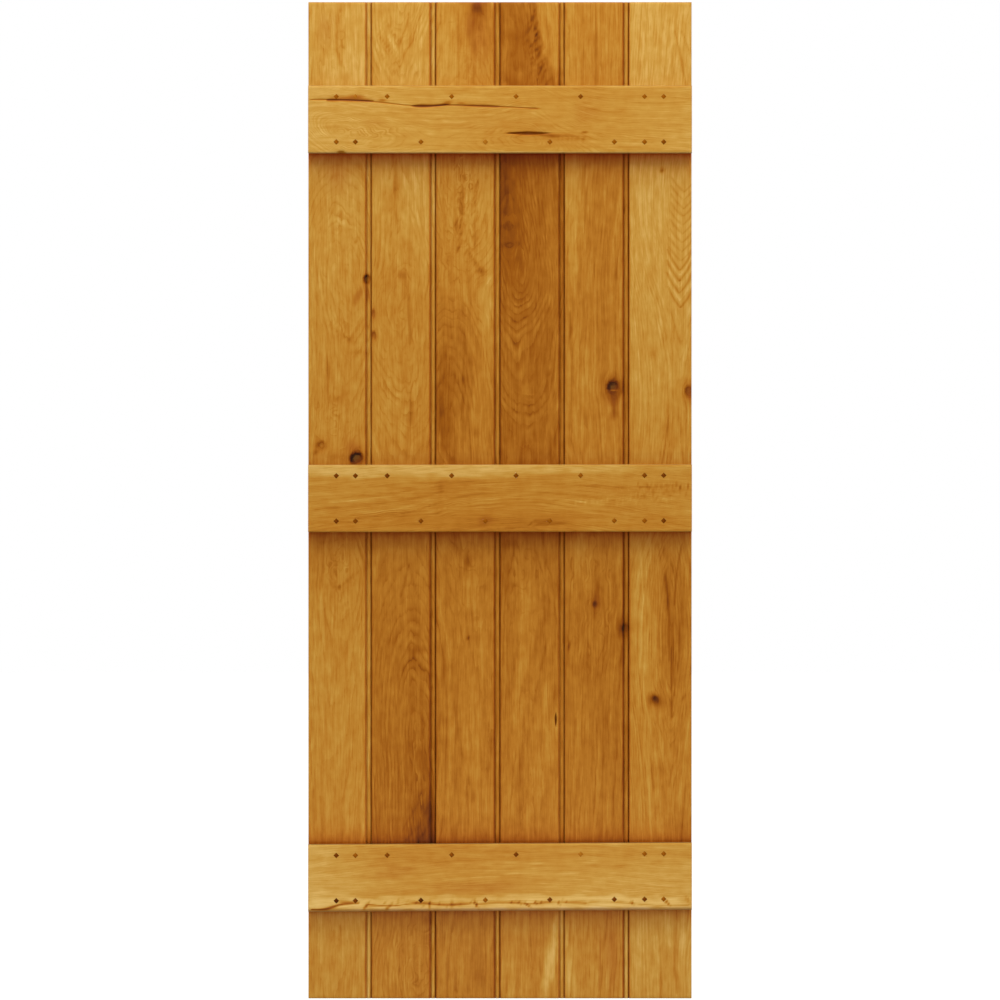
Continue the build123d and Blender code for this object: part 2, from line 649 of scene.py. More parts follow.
class Timber:
    """A sawn piece: a section repeated in rows along its grain, with square peg holes."""

    def __init__(self, name: str, section: Section, rows: Field, ease: float, pegs: Spots) -> None:
        """Keeps what the mesh is made from.

        Args:
            name: The piece's name.
            section: Its section.
            rows: The places of the rows along the grain.
            ease: How far the corners of the two ends are rounded off.
            pegs: The peg holes' middles, as places along and across.
        """
        self.name = name
        self.section = section
        round_off = np.array([0.0, 0.3, 1.0]) * ease
        body = rows[(rows > rows[0] + ease * 1.5) & (rows < rows[-1] - ease * 1.5)]
        self.rows = np.concatenate((rows[0] + round_off, body, rows[-1] - round_off[::-1]))
        shrink = np.zeros(len(self.rows))
        shrink[:3] = ease - np.array([0.0, 0.7, 1.0]) * ease
        shrink[-3:] = shrink[:3][::-1]
        self.shrink = shrink
        self.pegs = pegs

    def corners(self, relief: Callable[[Field, Field], Field]) -> tuple[Field, Field, Field]:
        """Gives every vertex's place along, across and its Y, rows first and caps last."""
        spots = self.section.spots()
        ring = self.section.outline()
        last = len(self.section.across) - 1
        place = np.array([spots[key][0] for key in ring])
        level = np.array([spots[key][1] for key in ring])
        outward = np.array([{"front": -1, "back": 1}.get(key[0], 0) for key in ring])
        side = np.array([(key[1] == last) * 1 - (key[1] == 0) * 1 for key in ring])
        side = np.where(outward != 0, side, 0)
        along = np.repeat(self.rows, len(ring))
        across = (place[None, :] - side[None, :] * self.shrink[:, None]).ravel()
        y = (level[None, :] - outward[None, :] * self.shrink[:, None]).ravel()
        front = np.tile(outward == -1, len(self.rows))
        y[front] += relief(along[front], across[front])
        inside = [key for key in spots if key not in set(ring)]
        for end in (self.rows[0], self.rows[-1]):
            along = np.append(along, np.full(len(inside), end))
            across = np.append(across, [spots[key][0] for key in inside])
            y = np.append(y, [spots[key][1] for key in inside])
        return along, across, y

    def hole_faces(self, number: dict[tuple, int]) -> tuple[list[Face], set]:
        """Lists the faces of the peg holes and round them.

        Args:
            number: Each outline node's number in its row.

        Returns:
            The faces, and the places of the faces that they take, as row and number.
        """
        faces: list[Face] = []
        taken: set[tuple[int, int]] = set()
        for along, across in self.pegs:
            row = int(np.argmin(np.abs(self.rows - along)))
            column = int(np.argmin(np.abs(self.section.across - across)))
            rims = []
            for face in ("front", "back"):
                spot = [[(row + r) * len(number) + number[face, column + c] for c in (-1, 0, 1)]
                        for r in (-1, 0, 1)]
                rim = [spot[0][1], spot[1][2], spot[2][1], spot[1][0]]
                corners = [spot[0][0], spot[0][2], spot[2][2], spot[2][0]]
                faces.extend(zip(corners, rim, rim[-1:] + rim[:-1]))
                rims.append(rim)
                for r in (-1, 0):
                    for c in (-1, 0):
                        taken.add((row + r, number[face, column + c + (face == "back")]))
            near, far = rims
            faces.extend(zip(near, near[1:] + near[:1], far[1:] + far[:1], far))
        return faces, taken

    def end_faces(self, number: dict[tuple, int]) -> list[Face]:
        """Lists the faces that close both ends, as hole_faces does."""
        inside = [key for key in self.section.spots() if key not in number]
        count, rows = len(number), len(self.rows)
        faces: list[Face] = []
        for end, row in enumerate((0, rows - 1)):
            at_end = {key: row * count + i for key, i in number.items()}
            base = rows * count + end * len(inside)
            at_end.update({key: base + i for i, key in enumerate(inside)})
            faces.extend(tuple(at_end[key] for key in face) for face in self.section.cap())
        return faces

    def faces(self) -> list[Face]:
        """Lists the faces as vertex numbers, with the peg holes and both ends closed."""
        number = {key: i for i, key in enumerate(self.section.outline())}
        count = len(number)
        faces, taken = self.hole_faces(number)
        for r in range(len(self.rows) - 1):
            for k in range(count):
                if (r, k) not in taken:
                    a, b = r * count + k, r * count + (k + 1) % count
                    faces.append((a, b, b + count, a + count))
        return faces + self.end_faces(number)

    def build(self, figure: Figure, place: Callable[[Field, Field, Field], Field],
              wear: Callable[[Field, Field, Field], dict[Trait, Field]]) -> bpy.types.Object:
        """Makes the piece with its traits.

        Args:
            figure: What shows in the piece's grain.
            place: Turns places along, across and Y into rows of world coordinates.
            wear: Gives the traits of stain, painted shade and painted light for places along, across
                and in Y.

        Returns:
            The new object, at the origin, with its place in its mesh.
        """
        along, across, y = self.corners(figure.relief)
        world = place(along, across, y) * MM
        faces = self.faces()
        used = np.unique(np.concatenate([np.array(face) for face in faces]))
        renumber = np.full(len(along), -1)
        renumber[used] = np.arange(len(used))
        mesh = bpy.data.meshes.new(self.name)
        mesh.from_pydata(world[used], [], [tuple(renumber[list(face)]) for face in faces])
        face_out(mesh)
        ends = np.minimum(np.abs(along - self.rows[0]), np.abs(along - self.rows[-1]))
        traits = figure.traits(along, across, y - float(self.section.front.min()))
        traits[Trait.END] = 1 - smooth_step(0.0, END_REACH, ends)
        traits.update(wear(along, across, y))
        for trait, values in traits.items():
            keep_trait(mesh, trait, values[used])
        mesh.shade_smooth()
        mesh.set_sharp_from_angle(angle=SHARP_ANGLE)
        return new_object(self.name, mesh)


def face_out(mesh: bpy.types.Mesh) -> None:
    """Turns the faces of a closed mesh outward."""
    shell = bmesh.new()
    shell.from_mesh(mesh)
    bmesh.ops.recalc_face_normals(shell, faces=shell.faces)
    shell.to_mesh(mesh)
    shell.free()


def keep_trait(mesh: bpy.types.Mesh, trait: Trait, values: Field) -> None:
    """Stores one trait at a mesh's points, as numbers or as vectors."""
    vectors = values.ndim == 2
    kind = "FLOAT_VECTOR" if vectors else "FLOAT"
    attribute = mesh.attributes.new(trait.value, kind, "POINT")
    attribute.data.foreach_set("vector" if vectors else "value", values.astype(np.float32).ravel())


@dataclass(frozen=True)
class Bounds:
    """A CAD node's box at rest, in millimetres."""

    low: Vector
    high: Vector

    @classmethod
    def of(cls, node: str) -> "Bounds":
        """Reads the box of a node."""
        low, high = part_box(node)
        return cls(low / MM, high / MM)

    @property
    def centre(self) -> Vector:
        """The middle of the box."""
        return (self.low + self.high) / 2


@dataclass(frozen=True)
class LedgePlan:
    """Where a ledge lies, how it slopes, and its pegs' shades in each row from the left.

    The boards' front faces are painted darker just above the ledge, and darker and redder below it, as
    painted shade where the ledge shades them.
    """

    name: str
    rise: float
    dirt_above: float
    oil_below: float
    upper_shades: str
    lower_shades: str

    @property
    def box(self) -> Bounds:
        """The ledge's box."""
        return Bounds.of(self.name)

    @property
    def level(self) -> float:
        """The height of the ledge's middle."""
        return self.box.centre.z

    @property
    def slope(self) -> float:
        """How much the ledge rises for each millimetre to the right."""
        return self.rise / (self.box.high.x - self.box.low.x)

    @property
    def half(self) -> float:
        """Half the ledge's height across its grain."""
        return (self.box.high.z - self.box.low.z - self.rise) / 2

    def peg_nodes(self) -> list[str]:
        """Names the ledge's pegs."""
        return sorted(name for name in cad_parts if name.startswith(f"{self.name}_"))

    def pegs(self) -> list[Vector]:
        """Gives the middles of the ledge's pegs."""
        return [Bounds.of(name).centre for name in self.peg_nodes()]

    def peg_tone(self, name: str) -> float:
        """Gives the tone of a peg's ends."""
        row, _, count = name.removeprefix(f"{self.name}_").split("_")
        shades = self.upper_shades if row == "upper" else self.lower_shades
        return PegShade[shades.split()[int(count) - 1]].value


LEDGES = (
    LedgePlan(
        "top_ledge",
        rise=0.0,
        dirt_above=0.0,
        oil_below=0.85,
        upper_shades="LIGHT FAINT LIGHT LIGHT LIGHT BROWN LIGHT LIGHT",
        lower_shades="LIGHT BROWN LIGHT FAINT LIGHT LIGHT LIGHT BROWN",
    ),
    LedgePlan(
        "middle_ledge",
        rise=1.0,
        dirt_above=0.2,
        oil_below=0.5,
        upper_shades="DARK DARK DARK BROWN BROWN LIGHT BROWN DARK",
        lower_shades="DARK BROWN BROWN LIGHT LIGHT LIGHT LIGHT DARK",
    ),
    LedgePlan(
        "bottom_ledge",
        rise=4.0,
        dirt_above=0.85,
        oil_below=0.3,
        upper_shades="DARK LIGHT BROWN BROWN DARK FAINT LIGHT LIGHT",
        lower_shades="BLACK DARK BLACK LIGHT DARK DARK DARK LIGHT",
    ),
)
LEAF = Bounds(cad_box[0] / MM, cad_box[1] / MM)
PEG = Bounds.of("top_ledge_upper_peg_1")
PEG_REACH = (PEG.high.x - PEG.low.x) / 2
BOARD_COUNT = 6
# The lattice lines in a rounded corner, as shares of its radius
CORNER_PARTS = (0.1, 0.4, 1.0)
# The tongue's rounded tip: how far each line lies behind it, and how much thinner each side is
TONGUE_TIP = ((2.0, 0.0), (0.8, 0.15), (0.0, 0.8))
# How dark the joint and the quirk on each board's right are drawn: dark oil in the joint, and painted
# shade in the narrow quirk and gap
JOINT_STAIN_AND_SHADE = {1: 0.38, 2: 0.5, 3: 0.45, 4: 0.28, 5: 0.62}

BOARD_1 = Figure(
    seed=11,
    # The dip at 880 is painted shade under the middle ledge
    tones=((47, 0.585), (415, 0.572), (733, 0.58), (880, 0.525), (1110, 0.565), (1500, 0.605),
           (1950, 0.625)),
    heart=Heart(((0, -330, 90), (500, -335, 70), (700, -326, 60), (860, -312, 44),
                 (960, -325, 60), (1100, -330, 66), (1200, -312, 58), (1300, -300, 44),
                 (1400, -306, 28), (1480, -318, 34), (1560, -325, 62), (1700, -318, 100),
                 (1981, -300, 110))),
    ring_width=6.0,
    sway=6.0,
    knots=(
        Knot(1430, -264.5, 6, tone=-0.26, stretch=1.3, pull=1.2),
        Knot(1100, -356, 7.5, tone=-0.14, stretch=1.1, pull=2.5, halo=-0.07),
        Knot(1075, -284.6, 12, tone=-0.34, stretch=0.9, pull=2.0, halo=-0.1, sink=1.0),
    ),
    shades=(
        torn(1930, -346, 34, 22, -0.02, blush=0.22),
        torn(1885, -336, 9, 16, -0.035),
        Shade(1900, -300, 60, 12, 0.02),
        # Painted shadow under the top ledge
        Shade(1640, -322, 40, 24, -0.03, blush=0.35),
        frayed(1545, -322, 10, 22, 0.035),
        frayed(1528, -318, 5, 18, -0.03),
        Shade(1506, -287, 6, 3.5, -0.12),
        Shade(1484, -312, 4, 3, -0.08),
        frayed(1397, -281, 22, 7, -0.11, turn=27, blush=0.3),
        Shade(1400, -263, 17, 4.5, -0.12, blush=0.5),
        torn(1320, -318, 24, 20, -0.025),
        Shade(1286, -285, 5, 17, -0.07),
        Shade(1253, -342, 36, 6, -0.07),
        torn(1194, -324, 17, 22, -0.05),
        Shade(1156, -321, 9, 3, -0.17),
        Shade(1100, -356, 3.6, 3.6, 0.09, ragged=0.0),
        Shade(1098, -293, 16, 16, -0.07, blush=0.4),
        Shade(1077, -322, 7, 22, -0.05),
        Shade(1086, -366, 6, 8, -0.1, turn=-35),
        torn(908, -345, 9, 12, -0.05),
        frayed(856, -308, 26, 15, 0.05),
        Shade(818, -328, 9, 4, -0.1, turn=-35),
        Shade(200, -330, 300, 30, -0.012),
        Shade(1852, -320, 42, 64, 0.03, edge=0.5, ragged=0.1),
        # Painted light in the shadow just under the bottom ledge
        Shade(164, -320, 11, 66, 0.04, ragged=0.1),
        Shade(560, -320, 60, 60, -0.012),
        Shade(118, -320, 36, 66, 0.022, edge=0.5),
    ),
    streaks=(
        Streak(((812, -328), (830, -304), (850, -280)), 3, -0.07),
        Streak(((1317, -300), (1336, -322), (1357, -344)), 2.6, 0.04),
        Streak(((1317, -300), (1342, -285), (1368, -271)), 2.6, 0.035),
        Streak(((1306, -300), (1325, -324), (1346, -347)), 2.6, -0.04),
        Streak(((1306, -300), (1330, -284), (1354, -270)), 2.6, -0.04),
        Streak(((1335, -302), (1354, -320), (1375, -338)), 2.4, -0.03),
    ),
    crinkles=(
        Crinkle(1890, -330, 90, 40, 0.7, 9, 1.6),
        Crinkle(1460, -320, 160, 40, 1.0, 9, 2.2),
        Crinkle(1150, -330, 80, 40, 1.4, 8, 1.6),
        Crinkle(850, -320, 70, 34, 1.6, 8, 1.5),
    ),
    bold=(
        Shade(1500, -320, 330, 50, -0.35, edge=0.8),
        Shade(400, -320, 280, 50, -0.4, edge=0.8),
        Shade(1560, -320, 30, 30, 0.9),
        Shade(1330, -308, 50, 34, 0.5),
        Shade(850, -318, 50, 26, 0.5),
    ),
)
BOARD_2 = Figure(
    seed=23,
    tones=((47, 0.53), (415, 0.465), (733, 0.485), (1110, 0.56), (1400, 0.57), (1600, 0.61),
           (1950, 0.62)),
    heart=Heart(((0, -165, 30), (60, -160, 14), (150, -152, 34), (300, -152, 16),
                 (350, -155, 10), (450, -160, 8), (540, -167, 12), (600, -169, 26),
                 (690, -174, 50), (800, -180, 78), (850, -184, 90), (1000, -180, 96),
                 (1120, -182, 84), (1200, -190, 62), (1300, -206, 40), (1390, -204, 24),
                 (1440, -190, 34), (1550, -198, 52), (1700, -200, 66), (1800, -200, 60),
                 (1900, -205, 34), (1981, -196, 8))),
    ring_width=6.5,
    sway=6.0,
    knots=(
        Knot(1361, -252, 3, tone=-0.12, stretch=2.6, pull=1.0, halo=-0.04),
        Knot(1319, -250.5, 4, tone=-0.14, stretch=2.0, pull=1.2, halo=-0.05),
    ),
    shades=(
        Shade(1361, -250, 12, 4, -0.05, blush=0.35, ragged=0.5),
        Shade(1319, -249, 12, 5, -0.05, blush=0.35, ragged=0.5),
        torn(1441, -194, 12, 12, -0.06, blush=0.15),
        torn(1437, -194, 5, 24, -0.04),
        Shade(1408, -192, 30, 5, -0.05),
        Shade(1446, -235, 28, 9, -0.05, turn=-20),
        Shade(1560, -150, 110, 16, 0.025),
        Shade(1600, -182, 60, 4, 0.03),
        Shade(1640, -168, 50, 4, 0.03),
        Shade(840, -182, 44, 3, 0.03),
        torn(693, -166, 9, 27, -0.07),
        torn(740, -170, 40, 12, -0.03),
        frayed(540, -163, 140, 22, -0.045),
        frayed(345, -137, 56, 13, -0.11),
        frayed(322, -156, 38, 34, -0.09, turn=-20),
        frayed(395, -150, 70, 30, -0.055),
        torn(482, -148, 30, 16, -0.04),
        torn(155, -144, 13, 14, -0.11),
        Shade(60, -200, 80, 20, 0.02),
        Shade(573, -190, 60, 60, 0.022, edge=0.5),
        Shade(1955, -203, 22, 8, 0.035, turn=8),
        Shade(1935, -218, 9, 3, -0.06, turn=20),
        torn(1898, -198, 8, 5, -0.06),
        torn(1848, -202, 10, 6, -0.04),
    ),
    streaks=(
        Streak(((1900, -200), (1922, -216), (1945, -236)), 2.4, -0.07),
        Streak(((1900, -200), (1930, -187), (1960, -181)), 2.4, -0.08),
        Streak(((1862, -202), (1890, -222), (1918, -244)), 2.6, -0.07),
        Streak(((1835, -206), (1865, -228), (1890, -248)), 2.6, -0.05),
        Streak(((1862, -200), (1890, -182), (1925, -168)), 2.2, -0.05),
        Streak(((1880, -202), (1906, -220), (1930, -240)), 2.4, 0.035),
        Streak(((312, -190), (338, -166), (392, -140)), 4.5, -0.07),
        Streak(((306, -166), (332, -150), (368, -136)), 4.0, -0.07),
        Streak(((330, -196), (372, -172), (420, -146)), 4.0, -0.04),
        Streak(((320, -178), (352, -158), (400, -138)), 3.0, 0.04),
        Streak(((1520, -203), (1600, -208), (1670, -206)), 5, -0.08),
        Streak(((1130, -180), (1165, -178), (1205, -177)), 3, -0.08),
        Streak(((1300, -178), (1350, -180), (1405, -182)), 3, -0.07),
        Streak(((796, -198), (836, -187), (862, -182)), 2.4, -0.07),
        Streak(((790, -160), (832, -174), (862, -181)), 2.4, -0.07),
    ),
    crinkles=(
        Crinkle(1890, -200, 110, 40, 1.0, 9, 2.2),
        Crinkle(1350, -200, 200, 50, 1.2, 9, 2.4),
        Crinkle(640, -170, 130, 40, 0.3, 9, 2.5),
        Crinkle(450, -160, 150, 30, 0.8, 7, 3),
        Crinkle(80, -170, 100, 40, 1.6, 7, 2),
    ),
    bold=(
        Shade(1350, -200, 190, 60, -0.3, edge=0.8),
        Shade(1200, -195, 50, 50, 0.8),
        Shade(660, -172, 80, 30, 1.0),
        Shade(420, -155, 120, 32, 1.2),
        Shade(90, -175, 60, 40, 0.6),
    ),
)
BOARD_3 = Figure(
    seed=37,
    tones=((47, 0.505), (415, 0.505), (733, 0.51), (1110, 0.515), (1400, 0.54), (1600, 0.565),
           (1950, 0.54)),
    heart=Heart(((0, -60, 80), (700, -30, 80), (850, -50, 70), (1000, -80, 46),
                 (1090, -100, 24), (1150, -104, 28), (1240, -105, 46), (1330, -103, 70),
                 (1400, -95, 92), (1470, -66, 78), (1540, -68, 56), (1640, -73, 34),
                 (1740, -75, 40), (1850, -80, 70), (1981, -85, 90))),
    ring_width=6.5,
    shades=(
        frayed(1959, -43, 26, 15, -0.13, turn=15),
        torn(1968, -45, 10, 12, -0.14),
        frayed(1938, -56, 34, 14, -0.06, turn=14, blush=0.3),
        frayed(1905, -40, 70, 26, -0.04, blush=0.25),
        Shade(1978, -40, 4, 18, -0.1, blush=0.8),
        Shade(1890, -108, 120, 24, 0.06, edge=0.4),
        Shade(1857, -64, 40, 62, 0.02, edge=0.5),
        *flecks((1905, -72), (1840, -66), 9, 8, -0.06, 18, 8),
        *flecks((1900, -50), (1840, -54), 6, 7, -0.05, -15, 9),
        *flecks((1660, -80), (1480, -78), 26, 9, -0.12, 14, 3),
        *flecks((1655, -66), (1490, -60), 12, 8, 0.05, -18, 4),
        *flecks((1650, -58), (1500, -70), 12, 7, 0.05, 20, 19),
        *flecks((1640, -52), (1500, -46), 16, 8, -0.09, 22, 18),
        *flecks((1560, -100), (1440, -104), 12, 5, -0.05, -60, 5),
        Shade(1240, -98, 165, 42, -0.045, edge=0.5, ragged=0.1),
        Shade(1185, -114, 110, 22, -0.075, edge=0.3, ragged=0.15),
        frayed(1372, -28, 62, 14, 0.06),
        Shade(1400, -28, 130, 20, 0.03),
        frayed(1340, -60, 60, 8, -0.035, turn=-20),
        frayed(1230, -60, 90, 7, -0.035, turn=4),
        Shade(1445, -33, 9, 8, -0.12),
        Shade(1446, -44, 6, 6, -0.05),
        Shade(1232, -73, 12, 4, -0.15),
        Shade(1279, -109, 11, 6, -0.06),
        Shade(1170, -118, 24, 8, -0.06),
        Shade(1123, -47, 9, 7, -0.08),
        Shade(1030, -100, 60, 20, -0.03),
        torn(872, -63, 16, 7, -0.09),
        torn(893, -84, 26, 6, -0.06, turn=-25),
        torn(897, -45, 20, 6, -0.05, turn=20),
        torn(820, -60, 20, 12, 0.045),
        torn(780, -55, 12, 16, 0.045),
        frayed(640, -110, 90, 9, -0.03, turn=-6),
        torn(500, -50, 90, 14, 0.03, turn=-8),
        torn(440, -90, 60, 12, -0.03, turn=-8),
        Shade(717, -63, 3, 3, -0.2),
        Shade(560, -117, 130, 8, -0.045),
        torn(405, -52, 15, 6, -0.08),
        frayed(45, -38, 40, 18, -0.06),
    ),
    streaks=(
        Streak(((1441, -34), (1462, -48), (1490, -66)), 2.5, -0.1),
        Streak(((1150, -78), (1290, -66), (1380, -92)), 3, -0.05),
        Streak(((430, -66), (560, -88), (670, -98)), 3, -0.05),
        Streak(((640, -52), (720, -54), (820, -60)), 2.4, -0.045),
    ),
    crinkles=(
        Crinkle(1640, -70, 130, 50, 1.6, 5, 3.2),
        Crinkle(1470, -95, 60, 34, 1.2, 6, 2),
        Crinkle(1890, -70, 90, 50, 1.2, 7, 2),
        Crinkle(840, -70, 90, 50, 1.2, 9, 2),
    ),
    bold=(
        Shade(1620, -70, 120, 34, 0.9),
        Shade(1300, -100, 110, 34, 0.3),
        Shade(1890, -70, 90, 50, -0.5, edge=0.8),
    ),
    ray=(Shade(1700, -70, 240, 50, 0.5),),
)
BOARD_4 = Figure(
    seed=41,
    tones=((47, 0.545), (415, 0.51), (733, 0.495), (1110, 0.455), (1400, 0.44), (1700, 0.42),
           (1950, 0.45)),
    heart=Heart(((0, 40, 60), (600, 60, 70), (800, 60, 80), (1000, 54, 96), (1100, 54, 104),
                 (1150, 53, 96), (1208, 51, 76), (1240, 46, 70), (1313, 40, 58),
                 (1450, 39, 8), (1530, 20, 14), (1640, 14, 36), (1800, 8, 60),
                 (1981, 0, 80))),
    ring_width=6.5,
    knots=(
        Knot(1534, 18, 12, tone=-0.02, stretch=0.42, pull=1.6, halo=-0.03, sink=0.0),
        Knot(1498, 18, 12, tone=-0.02, stretch=0.42, pull=1.6, halo=-0.03, sink=0.0),
    ),
    shades=(
        Shade(1915, 117, 120, 34, 0.11, turn=-13, edge=0.85, ragged=0.08),
        torn(1840, 122, 12, 18, -0.05),
        *flecks((1960, 61), (1826, 91), 24, 8, -0.16, 40, 6),
        Shade(1900, 30, 60, 26, -0.02),
        Shade(1850, 60, 30, 60, 0.03, edge=0.4, ragged=0.1),
        Shade(1530, 104, 160, 18, 0.045),
        Shade(1530, 12, 140, 14, -0.035),
        *flecks((1935, 52), (1822, 78), 18, 7, -0.09, 40, 7),
        Shade(1620, 10, 80, 18, -0.09),
        Shade(1520, 30, 120, 26, -0.02),
        Shade(1500, 16, 60, 20, -0.04),
        Shade(1560, 60, 160, 10, 0.025),
        Shade(1230, 112, 120, 14, 0.04),
        Shade(1246, 98, 6, 2, -0.11, turn=-15),
        torn(905, 22, 10, 20, -0.06, turn=-20),
        frayed(840, 12, 90, 13, -0.06),
        torn(780, 52, 60, 14, 0.045),
        torn(760, 90, 60, 9, -0.035, turn=12),
        torn(663, 46, 75, 12, 0.06, turn=14),
        torn(690, 66, 60, 6, -0.045, turn=14),
        torn(640, 24, 60, 7, -0.06, turn=10),
        torn(577, 84, 80, 10, 0.065, turn=16),
        torn(545, 62, 60, 6, -0.04, turn=14),
        torn(600, 108, 60, 7, -0.05, turn=10),
        torn(500, 98, 110, 14, 0.045, turn=12),
        torn(450, 40, 70, 8, -0.045, turn=10),
        torn(440, 66, 70, 9, 0.03, turn=10),
        Shade(400, 40, 90, 12, -0.02),
        Shade(75, 101, 105, 12, 0.13, turn=10, edge=0.5),
        Shade(110, 60, 70, 12, -0.03, turn=10),
    ),
    streaks=(
        Streak(((30, 60), (80, 68), (140, 74)), 2.5, -0.06),
        Streak(((560, 62), (640, 78), (720, 96)), 2.2, -0.05),
    ),
    crinkles=(Crinkle(1870, 72, 90, 26, 0.8, 5, 2.4), Crinkle(820, 50, 120, 40, 1.4, 9, 2.4)),
    bold=(
        Shade(1370, 38, 100, 32, 1.7),
        Shade(1180, 52, 50, 50, 0.8),
        Shade(1880, 70, 80, 30, 0.3),
    ),
    pockets=(Pocket(554, 111, 34, 5, 6),),
)
BOARD_5 = Figure(
    seed=53,
    tones=((47, 0.575), (415, 0.49), (733, 0.48), (1110, 0.535), (1400, 0.525), (1950, 0.56)),
    heart=Heart(((0, 60, 40), (500, 90, 40), (900, 110, 50), (1200, 100, 60), (1400, 90, 40),
                 (1650, 110, 30), (1981, 120, 40))),
    ring_width=8.0,
    knots=(
        Knot(1216, 224.5, 10, tone=-0.3, stretch=1.05, pull=2.0, halo=-0.13, sink=0.5,
             spread=1.5),
        Knot(784, 188, 4, tone=-0.02, stretch=1.4, pull=1.5, halo=-0.04, sink=0.0),
        Knot(737, 250, 7, tone=-0.12, stretch=1.2, pull=1.5, halo=-0.1, sink=0.1, spread=1.5),
    ),
    shades=(
        Shade(1560, 148, 220, 18, 0.045),
        frayed(1236, 168, 54, 34, 0.045),
        Shade(888, 195, 36, 64, 0.03, edge=0.4, ragged=0.2),
        Shade(1910, 188, 90, 14, -0.04),
        Shade(1500, 205, 300, 26, -0.035),
        Shade(1700, 142, 260, 14, 0.03),
        Shade(1209, 224, 2.4, 9, 0.3, ragged=0.0),
        frayed(1212, 223, 28, 18, -0.06, blush=0.15),
        torn(1184, 226, 15, 16, -0.11, blush=0.3),
        torn(1161, 227, 11, 11, -0.11, blush=0.2),
        frayed(1204, 240, 12, 4, -0.08, turn=20),
        Shade(1150, 251, 100, 6, -0.06),
        frayed(1060, 175, 70, 20, 0.03),
        torn(880, 150, 60, 16, 0.04),
        torn(900, 205, 50, 18, -0.03),
        Shade(784, 187, 6, 5, -0.22, turn=30, ragged=0.6),
        torn(789, 190, 16, 11, -0.07, blush=0.2),
        torn(812, 193, 20, 5, -0.09, turn=12),
        torn(830, 168, 30, 8, 0.04, turn=-10),
        Shade(764, 188, 14, 3, -0.08),
        frayed(737, 243, 22, 8, -0.06),
        Shade(700, 137, 12, 3, -0.13, turn=15),
        frayed(655, 190, 34, 40, -0.025, edge=0.4),
        torn(560, 160, 70, 16, 0.03),
        torn(420, 190, 60, 24, 0.02),
        Shade(60, 136, 75, 8, 0.1),
        Shade(90, 222, 110, 16, -0.04, blush=0.3),
    ),
    streaks=(
        Streak(((17, 197), (80, 199), (146, 198)), 2.5, -0.08, 0.3),
        Streak(((1130, 140), (1250, 142), (1370, 138)), 2.5, -0.09),
    ),
    crinkles=(Crinkle(800, 190, 160, 50, 1.4, 9, 2.4),),
)
BOARD_6 = Figure(
    seed=67,
    tones=((47, 0.605), (415, 0.545), (733, 0.525), (1110, 0.58), (1400, 0.63), (1950, 0.645)),
    heart=Heart(((0, 330, 80), (500, 338, 60), (700, 338, 34), (850, 340, 44),
                 (1000, 350, 80), (1230, 358, 90), (1300, 358, 84), (1373, 362, 70),
                 (1480, 362, 38), (1600, 364, 6), (1650, 366, 10), (1750, 370, 40),
                 (1981, 380, 60))),
    ring_width=4.6,
    roundness=1.35,
    knots=(
        Knot(1208, 375, 8, tone=-0.12, stretch=1.2, pull=2.0, halo=-0.1, sink=0.1, spread=1.5),
        Knot(593, 309, 6, tone=-0.04, stretch=1.2, pull=1.5, halo=-0.05, sink=0.0),
    ),
    shades=(
        Shade(594, 311, 8, 6, -0.12, turn=-35, ragged=0.7),
        Shade(597, 307, 5, 7, -0.09, turn=20, ragged=0.7),
        Shade(591, 307, 17, 16, -0.09, ragged=0.5),
        torn(600, 298, 12, 14, -0.04, turn=-20),
        Shade(1647, 321.5, 5, 3.5, -0.28),
        frayed(1206, 378, 16, 7, -0.1, blush=0.5),
        Shade(1280, 303, 9, 7, -0.07),
        torn(1130, 340, 60, 20, -0.03),
        torn(790, 336, 150, 15, -0.05),
        frayed(745, 360, 130, 24, -0.085),
        Shade(740, 283, 250, 22, 0.08),
        Shade(780, 368, 130, 8, 0.03),
        Shade(562, 343, 8, 3, -0.14, turn=25),
        Shade(597, 364, 9, 3, -0.1, turn=25),
        frayed(347, 358, 44, 18, -0.06),
        Shade(430, 325, 70, 10, -0.03),
        Shade(80, 274, 110, 9, 0.04),
        Shade(125, 320, 40, 66, 0.025, edge=0.5),
        Shade(1230, 320, 42, 66, 0.015, edge=0.5),
        Shade(120, 366, 70, 7, 0.06),
    ),
    streaks=(
        Streak(((1810, 370), (1858, 362), (1927, 347)), 2.2, -0.09),
        Streak(((1880, 376), (1900, 370), (1924, 362)), 2.2, -0.07),
        *chevrons(((1606, 366), (1590, 365), (1573, 365), (1557, 364), (1540, 363),
                   (1523, 363), (1505, 362), (1487, 361), (1469, 360)), 25, 27, 2.8, -0.07),
        *chevrons(((1450, 358), (1429, 357), (1404, 357), (1376, 359)), 25, 40, 2.8, -0.1),
        *chevrons(((1440, 358), (1417, 357), (1391, 358)), 25, 40, 2.6, 0.04),
        Streak(((1095, 337), (1120, 333), (1160, 336)), 2.5, -0.07),
        Streak(((560, 341), (630, 341), (700, 340)), 1.8, -0.15),
        Streak(((600, 347), (670, 345), (745, 343)), 1.6, -0.09),
        Streak(((670, 336), (760, 334), (840, 330)), 1.8, -0.08),
        Streak(((740, 338), (830, 331), (915, 322)), 2.0, -0.11),
        Streak(((770, 330), (850, 323), (908, 314)), 1.6, -0.06),
        Streak(((780, 346), (850, 352), (910, 363)), 2.0, -0.1),
        Streak(((640, 352), (740, 358), (860, 368)), 1.6, -0.06),
        Streak(((420, 336), (470, 344), (540, 346)), 2.4, -0.06),
        Streak(((10, 351), (80, 350), (170, 352)), 2.4, -0.08),
    ),
    bold=(
        Shade(1490, 352, 150, 40, -0.8, edge=0.7),
        Shade(1520, 288, 130, 26, -0.5, edge=0.6),
    ),
    dense=((1360, 1640, 334, 381),),
)
